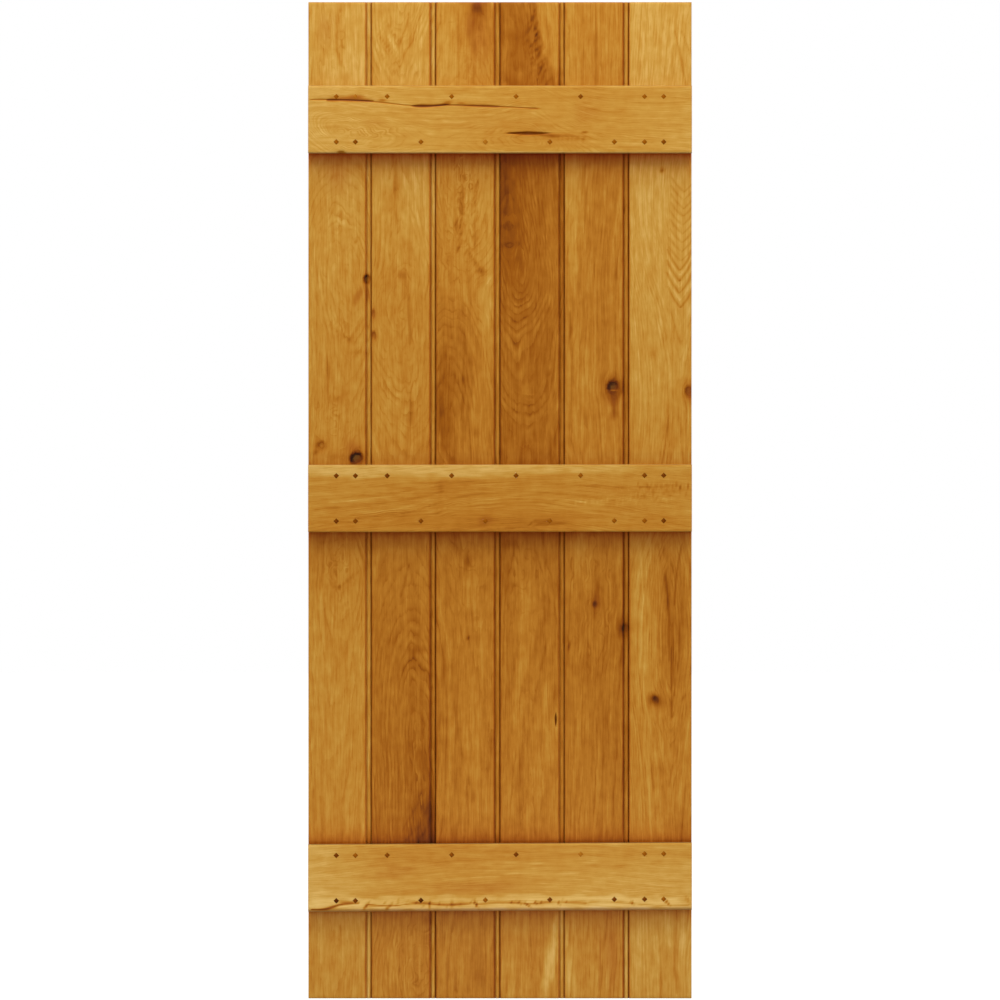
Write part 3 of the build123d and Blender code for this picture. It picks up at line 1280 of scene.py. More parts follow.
TOP_LEDGE = Figure(
    seed=71,
    tones=((-381, 0.665), (-200, 0.63), (0, 0.6), (200, 0.595), (381, 0.625)),
    heart=Heart(((-381, 0, 40), (-300, -30, 10), (-250, -36, 22), (-150, -40, 40),
                 (0, -40, 22), (56, -34, 9), (120, -60, 30), (381, -80, 60))),
    shades=(
        # Painted light on the lower arris, which turns away from the high lamp
        Shade(0, -67, 500, 3, 0.12, edge=0.5, ragged=0.05),
        Shade(20, -10, 120, 30, -0.025, ragged=0.3, blush=0.08),
        frayed(50, -40, 120, 22, -0.03),
        Shade(175, 20, 30, 30, -0.03, ragged=0.4, blush=0.15),
        Shade(-252, -6, 24, 8, -0.03, ragged=0.4, blush=0.1),
        frayed(168, -26, 7, 2.6, -0.22),
        torn(-300, 41, 46, 4, -0.11, turn=-2, blush=0.5),
        Shade(-284, 45, 14, 4, -0.1, blush=0.5, ragged=0.5),
        Shade(-234, 38, 7, 3, -0.17, ragged=0.5),
        Shade(-106, 32, 11, 3.4, -0.17, turn=18, ragged=0.5),
        Shade(-76, 32, 8, 2.4, -0.12, ragged=0.5),
        Shade(66, 22, 13, 3, -0.1, ragged=0.5),
        torn(18, -27, 12, 2.6, -0.16),
        Shade(58, -29, 42, 4.6, -0.14, turn=-3, ragged=0.5),
        Shade(95, -33, 20, 3.2, -0.12, turn=-4, ragged=0.5),
        Shade(128, -33, 26, 2, -0.07, ragged=0.5),
        *flecks((116, -38), (170, -40), 14, 6, -0.05, 90, 12),
    ),
    streaks=(
        Streak(((-379, 39), (-340, 39), (-297, 38), (-253, 35), (-215, 31), (-180, 27),
                (-142, 26), (-109, 28), (-59, 27), (0, 25), (40, 23), (79, 21)),
               1.3, -0.24, 0.1, 0.8),
        Streak(((-344, 38), (-300, 37.5), (-250, 36)), 3.4, -0.26, 0.1, 0.8),
        Streak(((-176, 26), (-140, 26), (-96, 30)), 3.0, -0.26, 0.1, 0.8),
        Streak(((-112, 28), (-60, 27), (0, 25)), 2.0, -0.14, 0.1, 0.3),
        Streak(((250, 34), (300, 32), (370, 34)), 1.6, -0.05),
        Streak(((-210, 52), (-120, 50), (-40, 54)), 1.6, -0.04),
    ),
    crinkles=(Crinkle(-290, -25, 80, 34, 1.6, 8, 1.8), Crinkle(0, -10, 380, 60, 0.7, 9, 3)),
    bold=(Shade(-300, -28, 80, 32, 1.2), Shade(56, -20, 60, 26, 0.8)),
    pockets=(Pocket(56, -28, 94, 8, 4, stain=-0.1),),
    chips=(Chip(-316, -67, 18, 3.5),),
)
MIDDLE_LEDGE = Figure(
    seed=83,
    tones=((-381, 0.57), (-150, 0.545), (0, 0.545), (200, 0.56), (381, 0.585)),
    heart=Heart(((-381, -110, 26), (-150, -84, 22), (30, -66, 16), (200, -78, 24),
                 (381, -105, 34))),
    shades=(
        Shade(-200, 58, 420, 17, 0.12, edge=0.3, blush=0.06, ragged=0.25),
        Shade(-200, 50, 420, 26, 0.035, ragged=0.25),
        Shade(-350, 4, 70, 30, 0.025),
        Shade(160, 0, 110, 24, 0.02),
        frayed(-118, 16, 6, 17, -0.05),
        Shade(150, 60, 220, 14, 0.04),
        frayed(-110, 22, 26, 16, -0.035),
        Shade(0, -47, 230, 22, -0.05, ragged=0.25),
        Shade(-330, -46, 60, 22, -0.025),
        torn(-28, -46, 16, 10, -0.05, blush=0.25),
        Shade(118, -50, 26, 2.6, -0.08, turn=6),
        frayed(340, -50, 60, 16, -0.05),
        *flecks((268, 22), (376, 20), 26, 7, -0.09, 90, 13),
        *flecks((150, -5), (330, -6), 26, 6, 0.06, 82, 14),
        *flecks((268, 6), (366, 4), 18, 6, -0.07, 84, 15),
    ),
    streaks=(
        Streak(((-370, -22), (-270, -14), (-160, 2), (-110, 14)), 2.2, -0.06),
        Streak(((-290, -40), (-200, -32), (-120, -10)), 2.0, -0.06),
        Streak(((-240, 26), (-120, 32), (0, 30), (130, 27)), 1.8, -0.05),
        Streak(((-150, -16), (-60, 6), (30, 12), (140, 6), (250, -8)), 2.2, -0.06),
        Streak(((-130, -24), (-50, -6), (30, 2), (130, -4), (210, -14)), 1.6, 0.05),
        Streak(((130, 26), (250, 22), (370, 24)), 1.6, -0.05),
        Streak(((57, -54), (66, -47), (84, -44), (108, -49)), 2.6, -0.09),
        Streak(((62, -58), (78, -52), (98, -54)), 2.2, -0.06),
        Streak(((-340, -8), (-250, 0), (-170, 12)), 2.0, 0.05),
        Streak(((-300, -30), (-210, -22), (-140, -4)), 2.0, 0.05),
    ),
    crinkles=(Crinkle(-100, -30, 140, 30, 1.2, 8, 2.6),),
    bold=(Shade(-230, -28, 110, 26, 1.0), Shade(60, 0, 160, 30, 0.6)),
    ray=(Shade(300, 10, 120, 36, 0.8),),
)
BOTTOM_LEDGE = Figure(
    seed=97,
    tones=((-381, 0.66), (-200, 0.595), (0, 0.595), (200, 0.63), (381, 0.635)),
    heart=Heart(((-381, -260, 30), (0, -230, 40), (381, -260, 30))),
    ring_width=3.6,
    shades=(
        torn(0, 46, 420, 22, -0.035, edge=0.4),
        torn(-225, 14, 60, 18, -0.035, blush=0.12),
        torn(-40, -20, 90, 14, -0.04, blush=0.2),
        torn(-340, -30, 60, 16, 0.04),
        torn(230, -10, 200, 26, 0.015),
        torn(0, -52, 420, 16, 0.125, edge=0.5),
        # Painted light on the wane, which turns down away from the lamps
        Shade(0, -66, 500, 6, 0.08, edge=0.4, blush=0.85, ragged=0.1),
        Shade(300, 40, 90, 26, -0.02),
        Shade(-340, 44, 60, 20, 0.03),
        Shade(-60, -60, 340, 5, 0.02, blush=0.12, ragged=0.5),
        Shade(-266, -56, 9, 2.4, -0.42, turn=55),
        Shade(-222, -59, 7, 2.4, -0.36, turn=50),
        Shade(-139, -54, 10, 1.8, -0.26, turn=86),
        Shade(-97, -54, 9, 1.8, -0.26, turn=86),
        Shade(-48, -53, 10, 2.2, -0.4, turn=-62),
        Shade(332, -52, 9, 2.0, -0.34, turn=-48),
        Shade(372, -46, 8, 2.0, -0.26, turn=-60),
        Shade(262, -52, 6, 2.0, -0.3, turn=-50),
        *flecks((24, -53), (130, -51), 8, 6.5, -0.3, -40, 16),
        *flecks((-230, -50), (-60, -54), 12, 5, -0.2, 60, 17),
    ),
    streaks=(
        Streak(((-377, -62), (-345, -61), (-318, -53), (-280, -51)), 2.4, -0.44, 0.2),
        Streak(((-264, -53), (-220, -56), (-160, -51), (-110, -54), (-46, -51)), 1.8, -0.27),
        Streak(((-50, -53), (20, -50), (60, -53), (110, -49), (172, -52)), 1.8, -0.2),
        Streak(((165, -53), (190, -50), (250, -52), (280, -55), (376, -58)), 1.6, -0.13),
        Streak(((-120, 26), (0, 30), (90, 28)), 1.6, 0.05),
        Streak(((-30, 10), (60, 6), (160, 8)), 1.6, 0.05),
        Streak(((60, 22), (160, 20), (330, 26)), 1.4, -0.05),
    ),
)
BOARD_FIGURES = {1: BOARD_1, 2: BOARD_2, 3: BOARD_3, 4: BOARD_4, 5: BOARD_5, 6: BOARD_6}
LEDGE_FIGURES = {"top_ledge": TOP_LEDGE, "middle_ledge": MIDDLE_LEDGE, "bottom_ledge": BOTTOM_LEDGE}


@dataclass(frozen=True)
class BoardPlan:
    """One of the leaf's boards, with its tongue, groove and bead."""

    number: int
    joint_gap: float = 1.6
    arris: float = 1.2
    stile_arris: float = 2.0
    tongue_thickness: float = 6.0
    tongue_clearance: float = 0.2
    groove_depth: float = 7.4
    bead_radius: float = 3.9
    bead_set: float = 0.3
    quirk_width: float = 2.4
    seam: float = 2.0
    rubbed: float = 0.46
    dirt_reach: float = 15.0
    oil_reach: float = 18.0
    wear_depth: float = 6.0
    settled: float = 0.6
    stain_shift: float = 1.1
    rubbed_shift: float = 0.6
    lift_fade: float = 60.0
    column_spacing: float = 3.2
    row_spacing: float = 6.0
    closer_across: float = 0.7
    closer_along: float = 0.4
    split_across: float = 0.7
    split_along: float = 2.0
    quirk_lip: float = 0.5
    quirk_lines: tuple[float, ...] = (-0.5, -0.15, 0.0, 0.12)

    @property
    def node(self) -> str:
        """The board's CAD node."""
        return f"board_{self.number}"

    @property
    def left(self) -> float:
        """The board's left edge on its face."""
        return Bounds.of(self.node).low.x

    @property
    def right(self) -> float:
        """The board's right edge on its face, without the tongue."""
        if self.number == BOARD_COUNT:
            return Bounds.of(self.node).high.x
        return Bounds.of(f"board_{self.number + 1}").low.x - self.joint_gap

    def cut(self, across: Field) -> Field:
        """Gives how far the moulded faces lie under the flat at places across."""
        first, last = self.number == 1, self.number == BOARD_COUNT
        cut = np.maximum(
            self.rounding(across - self.left, self.stile_arris if first else self.arris),
            self.rounding(self.right - across, self.stile_arris) if last else 0.0,
        )
        if last:
            return cut
        floor = self.bead_radius + self.bead_set
        bead_middle = self.right - self.bead_radius
        crown = np.sqrt(np.clip(self.bead_radius**2 - (across - bead_middle) ** 2, 0, None))
        quirk_edge = self.right - 2 * self.bead_radius - self.quirk_width
        lip = self.rounding(quirk_edge - across, self.quirk_lip)
        return np.where(across > quirk_edge, floor - crown, np.maximum(cut, lip))

    @staticmethod
    def rounding(inward: Field, radius: float) -> Field:
        """Gives the drop of a rounded corner at distances inward from it."""
        short = np.clip(radius - np.clip(inward, 0, None), 0, None)
        return radius - np.sqrt(radius**2 - short**2)

    def columns(self, pegs: Spots) -> Field:
        """Places the columns: corners, bead, quirk, peg holes and an even fill."""
        first, last = self.number == 1, self.number == BOARD_COUNT
        soft = self.stile_arris if first else self.arris
        exact, clear = peg_lines([across for _, across in pegs])
        exact += [self.left + soft * part for part in CORNER_PARTS]
        if not first:
            exact.append(self.left + self.groove_depth)
        if last:
            exact += [self.right - self.stile_arris * part for part in CORNER_PARTS]
        else:
            bead_middle = self.right - self.bead_radius
            turns = np.linspace(math.pi, 0, 11)[:-1]
            exact += list(bead_middle + self.bead_radius * np.cos(turns))
            quirk_edge = self.right - 2 * self.bead_radius - self.quirk_width
            exact += [quirk_edge + step for step in self.quirk_lines]
        figure, spacing = BOARD_FIGURES[self.number], self.column_spacing * self.closer_across
        fine = [about(knot.across, 2.2 * knot.radius, spacing) for knot in figure.knots]
        fine += [about(split.across, split.width, self.split_across) for split in figure.pockets]
        fine += [(low, high, spacing) for *_, low, high in figure.dense]
        return lines_between(self.left, self.right, self.column_spacing, exact, clear, fine)

    def section(self, pegs: Spots) -> Section:
        """Gives the board's section with its groove and tongue."""
        box = Bounds.of(self.node)
        columns = self.columns(pegs)
        cut = self.cut(columns)
        has_tongue = self.number < BOARD_COUNT
        tips = tuple(box.high.x - back for back, _ in TONGUE_TIP) if has_tongue else ()
        groove = 0
        if self.number > 1:
            groove = int(np.argmin(np.abs(columns - self.left - self.groove_depth)))
        half = np.full(len(columns) + len(tips), self.tongue_thickness / 2)
        half[: groove + 1] += self.tongue_clearance
        if has_tongue:
            half[-len(TONGUE_TIP):] -= [thinner for _, thinner in TONGUE_TIP]
        inner = box.centre.y + np.array([-half, np.zeros(len(half)), half])
        return Section(columns, box.low.y + cut, box.high.y - cut, inner, groove, tips)

    def lift(self, along: Field, across: Field) -> Field:
        """Gives how far the lattice is raised, so that its rows meet the sloping pegs."""
        total = np.zeros(np.shape(along))
        for ledge in LEDGES:
            far = np.abs(along - ledge.level)
            near = 1 - smooth_step(ledge.half, ledge.half + self.lift_fade, far)
            total = total + near * ledge.slope * across
        return total

    def place(self, along: Field, across: Field, y: Field) -> Field:
        """Turns the board's own directions into world coordinates."""
        return np.column_stack((across, y, along + self.lift(along, across)))

    def wear(self, along: Field, across: Field, y: Field) -> dict[Trait, Field]:
        """Gives the dark oil and the painted shade and light on the board.

        Args:
            along: Places along the grain.
            across: Places across the grain.
            y: The places' Y.

        Returns:
            How dark the joints and the board just above each ledge are, as dark oil in the joints and
            painted shade elsewhere, with painted light on the beads' crowns below zero; how strong the
            painted shadow tint is by the ledges and joints; and the painted shade on the top end.
        """
        # Darker at the joints and quirks: dark oil in the joint, and painted shade in the narrow
        # recesses
        stain_and_shade = np.zeros(len(across))
        if self.number > 1:
            near = 1 - smooth_step(0.0, self.seam, across - self.left)
            stain_and_shade = JOINT_STAIN_AND_SHADE[self.number - 1] * near
        if self.number < BOARD_COUNT:
            crown = self.right - self.bead_radius
            quirk = crown - self.bead_radius - self.quirk_width / 2
            near = 1 - smooth_step(0.0, 0.5 * self.seam, self.right - across)
            off = across - quirk + self.stain_shift
            near = near + 1.4 * np.exp(-((off / (0.8 * self.seam)) ** 2))
            stain_and_shade = stain_and_shade + JOINT_STAIN_AND_SHADE[self.number] * near
            # Painted light on the bead's crown and shoulder, which the quirk beside them shades
            off = across - crown + self.rubbed_shift
            stain_and_shade = stain_and_shade - self.rubbed * np.exp(-((off / (1.4 * self.seam)) ** 2))
        # The painted shadow tint also darkens and reddens the joints and quirks
        pool = 0.4 * np.clip(stain_and_shade, 0, 1)
        box = Bounds.of(self.node)
        front = y < box.low.y + self.wear_depth
        # Painted shade on the front face next to each ledge: darker just above it, and darker and
        # redder below it where its shadow falls
        for ledge in LEDGES:
            gap = np.clip(np.abs(along - ledge.level) - ledge.half, 0, None)
            shade_above = ledge.dirt_above * np.exp(-gap / self.dirt_reach)
            stain_and_shade = np.where(front & (along > ledge.level), np.maximum(stain_and_shade, shade_above), stain_and_shade)
            # This tint is painted shadow, strong below the ledge and weak above it
            oil = np.where(along > ledge.level, 0.25 * ledge.dirt_above, ledge.oil_below)
            oil = oil * np.exp(-gap / self.oil_reach)
            pool = np.where(front, np.maximum(pool, oil), pool)
        # Painted shade on the top end, which the high lamp lights strongly
        dust = self.settled * smooth_step(box.high.z - self.arris, box.high.z, along)
        return {Trait.CREVICE: stain_and_shade, Trait.POOL: pool, Trait.DUST: dust}

    def build(self, finish: bpy.types.Material) -> bpy.types.Object:
        """Makes the board with its finish."""
        box = Bounds.of(self.node)
        pegs = [
            (peg.z - ledge.slope * peg.x, peg.x)
            for ledge in LEDGES
            for peg in ledge.pegs()
            if self.left < peg.x < self.right
        ]
        exact, clear = peg_lines(sorted({round(along, 3) for along, _ in pegs}))
        figure, spacing = BOARD_FIGURES[self.number], self.row_spacing * self.closer_along
        fine = [about(knot.along, 2.4 * knot.radius, spacing) for knot in figure.knots]
        fine += [about(split.along, split.length / 2, self.split_along) for split in figure.pockets]
        fine += [(low, high, spacing) for low, high, *_ in figure.dense]
        rows = lines_between(box.low.z, box.high.z, self.row_spacing, exact, clear, fine)
        timber = Timber(f"oak_{self.node}", self.section(pegs), rows, self.arris, pegs)
        piece = timber.build(figure, self.place, self.wear)
        return dress(piece, finish, [self.node])


@dataclass(frozen=True)
class Ledge:
    """A ledge across the leaf."""

    plan: LedgePlan
    arris: float = 2.5
    wane: float = 7.0
    worn: float = 0.65
    column_spacing: float = 3.0
    fine_spacing: float = 1.2
    row_spacing: float = 4.0
    end_ease: float = 1.5
    foot_parts: tuple[float, ...] = (0.06, 0.2, 0.45, 1.0)
    inner_levels: tuple[float, ...] = (8, 14, 19)

    def cut(self, across: Field) -> Field:
        """Gives how far the front face lies back at its long edges."""
        foot = self.wane if self.plan.name == "bottom_ledge" else self.arris
        upper = BoardPlan.rounding(self.plan.half - across, self.arris)
        return np.maximum(upper, BoardPlan.rounding(self.plan.half + across, foot))

    def wear(self, along: Field, across: Field, y: Field) -> dict[Trait, Field]:
        """Gives the painted shade on the upper edge, darker on the top face than on the front arris."""
        # Painted shade on the ledge's top, which faces the high lamp and throws light onto the board
        # above; the front arris gets less
        edge = 1 - smooth_step(0.0, self.arris, self.plan.half - across)
        upper_side = y > self.plan.box.low.y + self.arris
        return {Trait.DUST: edge * np.where(upper_side, 1.0, self.worn)}

    def place(self, along: Field, across: Field, y: Field) -> Field:
        """Turns the ledge's own directions into world coordinates."""
        return np.column_stack((along, y, self.plan.level + self.plan.slope * along + across))

    def build(self, finish: bpy.types.Material) -> bpy.types.Object:
        """Makes the ledge with its finish."""
        plan = self.plan
        figure = LEDGE_FIGURES[plan.name]
        pegs = [(peg.x, round(peg.z - plan.level - plan.slope * peg.x, 3)) for peg in plan.pegs()]
        foot = self.wane if plan.name == "bottom_ledge" else self.arris
        exact, clear = peg_lines(sorted({across for _, across in pegs}))
        exact += [plan.half - self.arris * part for part in CORNER_PARTS]
        exact += [-plan.half + foot * part for part in self.foot_parts]
        fine = [about(hole.across, hole.width, self.fine_spacing) for hole in figure.pockets]
        for streak in figure.streaks:
            line = [across for _, across in streak.path]
            if streak.cut:
                fine.append((min(line) - streak.width, max(line) + streak.width, self.fine_spacing))
        columns = lines_between(-plan.half, plan.half, self.column_spacing, exact, clear, fine)
        exact, clear = peg_lines(sorted({along for along, _ in pegs}))
        rows = lines_between(plan.box.low.x, plan.box.high.x, self.row_spacing, exact, clear)
        front = plan.box.low.y + self.cut(columns)
        back = np.full(len(columns), plan.box.high.y)
        inner = np.array([np.full(len(columns), plan.box.low.y + step) for step in self.inner_levels])
        section = Section(columns, front, back, inner)
        timber = Timber(f"oak_{plan.name}", section, rows, self.end_ease, pegs)
        piece = timber.build(figure, self.place, self.wear)
        return dress(piece, finish, [plan.name])


class NodeMaker:
    """Adds and wires nodes in one tree."""

    def __init__(self, tree: bpy.types.NodeTree) -> None:
        """Keeps the tree."""
        self.tree = tree

    def add(self, kind: str, inputs: dict | None = None, **settings: object) -> bpy.types.Node:
        """Adds a node.

        Args:
            kind: The node's type.
            inputs: What goes into its sockets, as values or as other nodes' outputs.
            settings: The node's own properties.

        Returns:
            The new node.
        """
        node = self.tree.nodes.new(kind)
        for name, value in settings.items():
            setattr(node, name, value)
        for key, value in (inputs or {}).items():
            if isinstance(value, Socket):
                self.tree.links.new(value, node.inputs[key])
            else:
                node.inputs[key].default_value = value
        return node

    def wire(self, source: Socket, node: bpy.types.Node, socket: str) -> None:
        """Joins an output to a named input of a node."""
        self.tree.links.new(source, node.inputs[socket])

    def mix(self, amount: object, colour: object, other: tuple[int, int, int],
            blend: str = "MIX") -> Socket:
        """Mixes a screen colour into a colour by an amount."""
        inputs = {0: amount, 6: colour, 7: linear(other)}
        node = self.add("ShaderNodeMix", inputs, data_type="RGBA", blend_type=blend)
        return node.outputs[2]

    def math(self, operation: str, *values: object, clamp: bool = False) -> Socket:
        """Adds a Math node and gives its output."""
        inputs = dict(enumerate(values))
        return self.add("ShaderNodeMath", inputs, operation=operation, use_clamp=clamp).outputs[0]

    def vector(self, operation: str, *values: object) -> Socket:
        """Adds a Vector Math node and gives its vector, or the length that it finds."""
        node = self.add("ShaderNodeVectorMath", dict(enumerate(values)), operation=operation)
        return node.outputs["Value" if operation == "LENGTH" else "Vector"]

    def ramp(self, value: object, low: float, high: float, start: object = 0.0,
             end: object = 1.0) -> Socket:
        """Maps a value smoothly from low and high to start and end."""
        inputs = {"Value": value, "From Min": low, "From Max": high, "To Min": start, "To Max": end}
        node = self.add("ShaderNodeMapRange", inputs, interpolation_type="SMOOTHSTEP")
        return node.outputs["Result"]

    def noise(self, vector: object, scale: Triple, detail: float, roughness: float = 0.5) -> Socket:
        """Adds noise whose lumps have a given size along each axis of a vector."""
        sized = self.vector("MULTIPLY", vector, tuple(1 / size for size in scale))
        inputs = {"Vector": sized, "Scale": 1.0, "Detail": detail, "Roughness": roughness}
        return self.add("ShaderNodeTexNoise", inputs).outputs[0]

    def lumps(self, vector: object, scale: Triple, detail: float) -> Socket:
        """Adds noise about 0 that mostly runs from -0.5 to 0.5."""
        return self.math("MULTIPLY", self.math("SUBTRACT", self.noise(vector, scale, detail), 0.5), 2.4)

    def trait(self, trait: Trait) -> Socket:
        """Reads one of a piece's traits."""
        node = self.add("ShaderNodeAttribute", attribute_name=trait.value)
        return node.outputs["Vector" if trait is Trait.GRAIN else "Fac"]


def new_group(name: str, kind: str, inputs: dict[str, tuple[str, object]],
              outputs: dict[str, str]) -> tuple[NodeMaker, bpy.types.NodeOutputs, bpy.types.Node]:
    """Starts a node group.

    Args:
        name: The group's name.
        kind: The type of its tree.
        inputs: Each input's socket type and default, by name.
        outputs: Each output's socket type, by name.

    Returns:
        The maker for the tree, the sockets of its inputs and its output node.
    """
    tree = bpy.data.node_groups.new(name, kind)
    for label, (socket_type, default) in inputs.items():
        socket = tree.interface.new_socket(label, in_out="INPUT", socket_type=socket_type)
        if default is not None:
            socket.default_value = default
    for label, socket_type in outputs.items():
        tree.interface.new_socket(label, in_out="OUTPUT", socket_type=socket_type)
    make = NodeMaker(tree)
    return make, make.add("NodeGroupInput").outputs, make.add("NodeGroupOutput")


def linear(colour: tuple[int, int, int]) -> tuple[float, float, float, float]:
    """Turns a colour as it shows on a screen, from 0 to 255, into the light it stands for."""
    parts = [value / 255 for value in colour]
    light = [p / 12.92 if p <= 0.04045 else ((p + 0.055) / 1.055) ** 2.4 for p in parts]
    return (*light, 1.0)


# The oil's colour on oak of each tone, from bare black to the palest sapwood
STAIN = (
    (0.00, (12, 3, 0)),
    (0.10, (60, 26, 1)),
    (0.16, (86, 37, 1)),
    (0.285, (123, 60, 4)),
    (0.405, (158, 88, 9)),
    (0.52, (187, 120, 34)),
    (0.577, (196, 136, 47)),
    (0.636, (205, 153, 64)),
    (0.75, (226, 184, 102)),
    (0.85, (238, 206, 140)),
)
BLUSH = (168, 84, 34)
KNOT_HEART = (112, 84, 34)
# The colour that the painted shadow tint multiplies in, darkening and reddening the wood
SHADOW_AND_OIL_COLOUR = (255, 134, 40)
# The colour of the painted shade on the top faces
DUST = (118, 82, 36)


def make_figure_group() -> bpy.types.NodeTree:
    """Makes the group that draws rings, fibres, pores and rays over a piece's tone."""
    number = "NodeSocketFloat"
    make, given, out = new_group(
        "Oak figure",
        "ShaderNodeTree",
        {
            "Ring": (number, 0.0),
            "Grain": ("NodeSocketVector", None),
            "Tone": (number, 0.5),
            "Ray": (number, 0.0),
            "Bold": (number, 1.0),
            "Ring Strength": (number, 0.05),
            "Fibre Strength": (number, 0.05),
            "Pore Strength": (number, 0.06),
        },
        {"Tone": number, "Height": number, "Pores": number},
    )
    grain = given["Grain"]
    ring = make.math("MULTIPLY_ADD", make.lumps(grain, (7, 7, 40), 2), 0.3, given["Ring"])
    part = make.math("FRACT", ring)
    early = make.ramp(part, 0.0, 0.5, 1.0, 0.0)
    uneven = make.add("ShaderNodeTexNoise", {"W": ring, "Scale": 0.8, "Detail": 2.0},
                      noise_dimensions="1D").outputs[0]
    uneven = make.math("MULTIPLY", make.math("SUBTRACT", uneven, 0.5), 2.6)
    fade = make.ramp(make.lumps(grain, (17, 17, 70), 2), -0.3, 0.35, 0.2, 1.1)
    lines = make.math("MULTIPLY_ADD", early, -0.8, uneven)
    lines = make.math("MULTIPLY", make.math("ADD", lines, 0.18), fade)
    strength = make.math("MULTIPLY", given["Ring Strength"], given["Bold"])
    rings = make.math("MULTIPLY", lines, strength)

    fibre = make.lumps(grain, (2.4, 2.4, 52), 3)
    broad = make.lumps(grain, (8, 8, 150), 2)
    mottle = make.lumps(grain, (13, 13, 26), 3)
    threads = make.math("MULTIPLY_ADD", broad, 0.9, fibre)
    threads = make.math("MULTIPLY_ADD", mottle, 0.95, threads)
    pore = make.ramp(make.noise(grain, (0.9, 0.9, 11), 1), 0.58, 0.72)
    pores = make.math("MULTIPLY", pore, make.ramp(early, 0.0, 1.0, 0.25, 1.0))
    fleck = make.ramp(make.noise(grain, (11, 11, 3.2), 2), 0.54, 0.66)
    rays = make.math("MULTIPLY", fleck, given["Ray"])

    tone = make.math("ADD", given["Tone"], rings)
    tone = make.math("MULTIPLY_ADD", threads, given["Fibre Strength"], tone)
    tone = make.math("SUBTRACT", tone, make.math("MULTIPLY", pores, given["Pore Strength"]))
    tone = make.math("MULTIPLY_ADD", rays, 0.035, tone)
    height = make.math("MULTIPLY_ADD", pores, -1.0, make.math("MULTIPLY", fibre, 0.2))
    make.wire(tone, out, "Tone")
    make.wire(height, out, "Height")
    make.wire(pores, out, "Pores")
    return make.tree


def make_stain_group() -> bpy.types.NodeTree:
    """Makes the group that turns tone, knots, painted shade and light, dark oil and end grain into the
    oiled colour, with the painted shadow tint and the painted top shade.
    """
    number = "NodeSocketFloat"
    make, given, out = new_group(
        "Golden oil",
        "ShaderNodeTree",
        {
            "Tone": (number, 0.5),
            "Blush": (number, 0.0),
            "Crevice": (number, 0.0),
            "Pool": (number, 0.0),
            "Dust": (number, 0.0),
            "Knot": (number, 9.0),
            "Knot Tone": (number, 0.0),
            "End Grain": (number, 0.0),
            "Grain": ("NodeSocketVector", None),
        },
        {"Color": "NodeSocketColor"},
    )
    grain = given["Grain"]
    speck = make.math("SUBTRACT", make.noise(grain, (2.5, 2.5, 3.5), 3, 0.65), 0.5)
    reach = make.math("MULTIPLY_ADD", speck, 0.9, given["Knot"])
    core = make.ramp(reach, 0.5, 1.7, 1.0, 0.0)
    heart = make.ramp(reach, 0.15, 0.7, 1.0, 0.0)
    rim = make.math("MULTIPLY", make.ramp(reach, 0.2, 0.75), make.ramp(reach, 0.7, 1.4, 1.0, 0.0))
    growth = make.math("SINE", make.math("MULTIPLY", reach, 14.0))
    swirl = make.math("MULTIPLY", make.math("MULTIPLY", growth, core), 0.02)
    depth = make.math("MULTIPLY_ADD", core, 0.5, make.math("MULTIPLY", rim, 0.45))
    tone = make.math("MULTIPLY_ADD", depth, given["Knot Tone"], given["Tone"])
    tone = make.math("ADD", tone, swirl)
    dulled = make.math("MULTIPLY", given["Knot Tone"], -1.2, clamp=True)
    dulled = make.math("MULTIPLY", dulled, heart)
    # Darker by painted shade and dark oil, and lighter by painted light where it is below zero
    tone = make.math("MULTIPLY_ADD", given["Crevice"], -0.2, tone)
    tone = make.math("MULTIPLY_ADD", given["End Grain"], -0.09, tone)
    tone = make.math("MAXIMUM", tone, 0.03)
    ramp = make.add("ShaderNodeValToRGB", {0: tone})
    stops = ramp.color_ramp.elements
    stops[0].position, stops[1].position = STAIN[0][0], STAIN[-1][0]
    stops[0].color, stops[1].color = linear(STAIN[0][1]), linear(STAIN[-1][1])
    for position, colour in STAIN[1:-1]:
        stops.new(position).color = linear(colour)
    amount = make.math("MULTIPLY", given["Blush"], 0.6)
    colour = make.mix(amount, ramp.outputs[0], BLUSH)
    colour = make.mix(dulled, colour, KNOT_HEART)
    # Painted shadow tint by the ledges, and the same tint on the dark oil in the joints
    colour = make.mix(given["Pool"], colour, SHADOW_AND_OIL_COLOUR, blend="MULTIPLY")
    # Painted shade on the top faces
    colour = make.mix(given["Dust"], colour, DUST)
    make.wire(colour, out, "Color")
    return make.tree


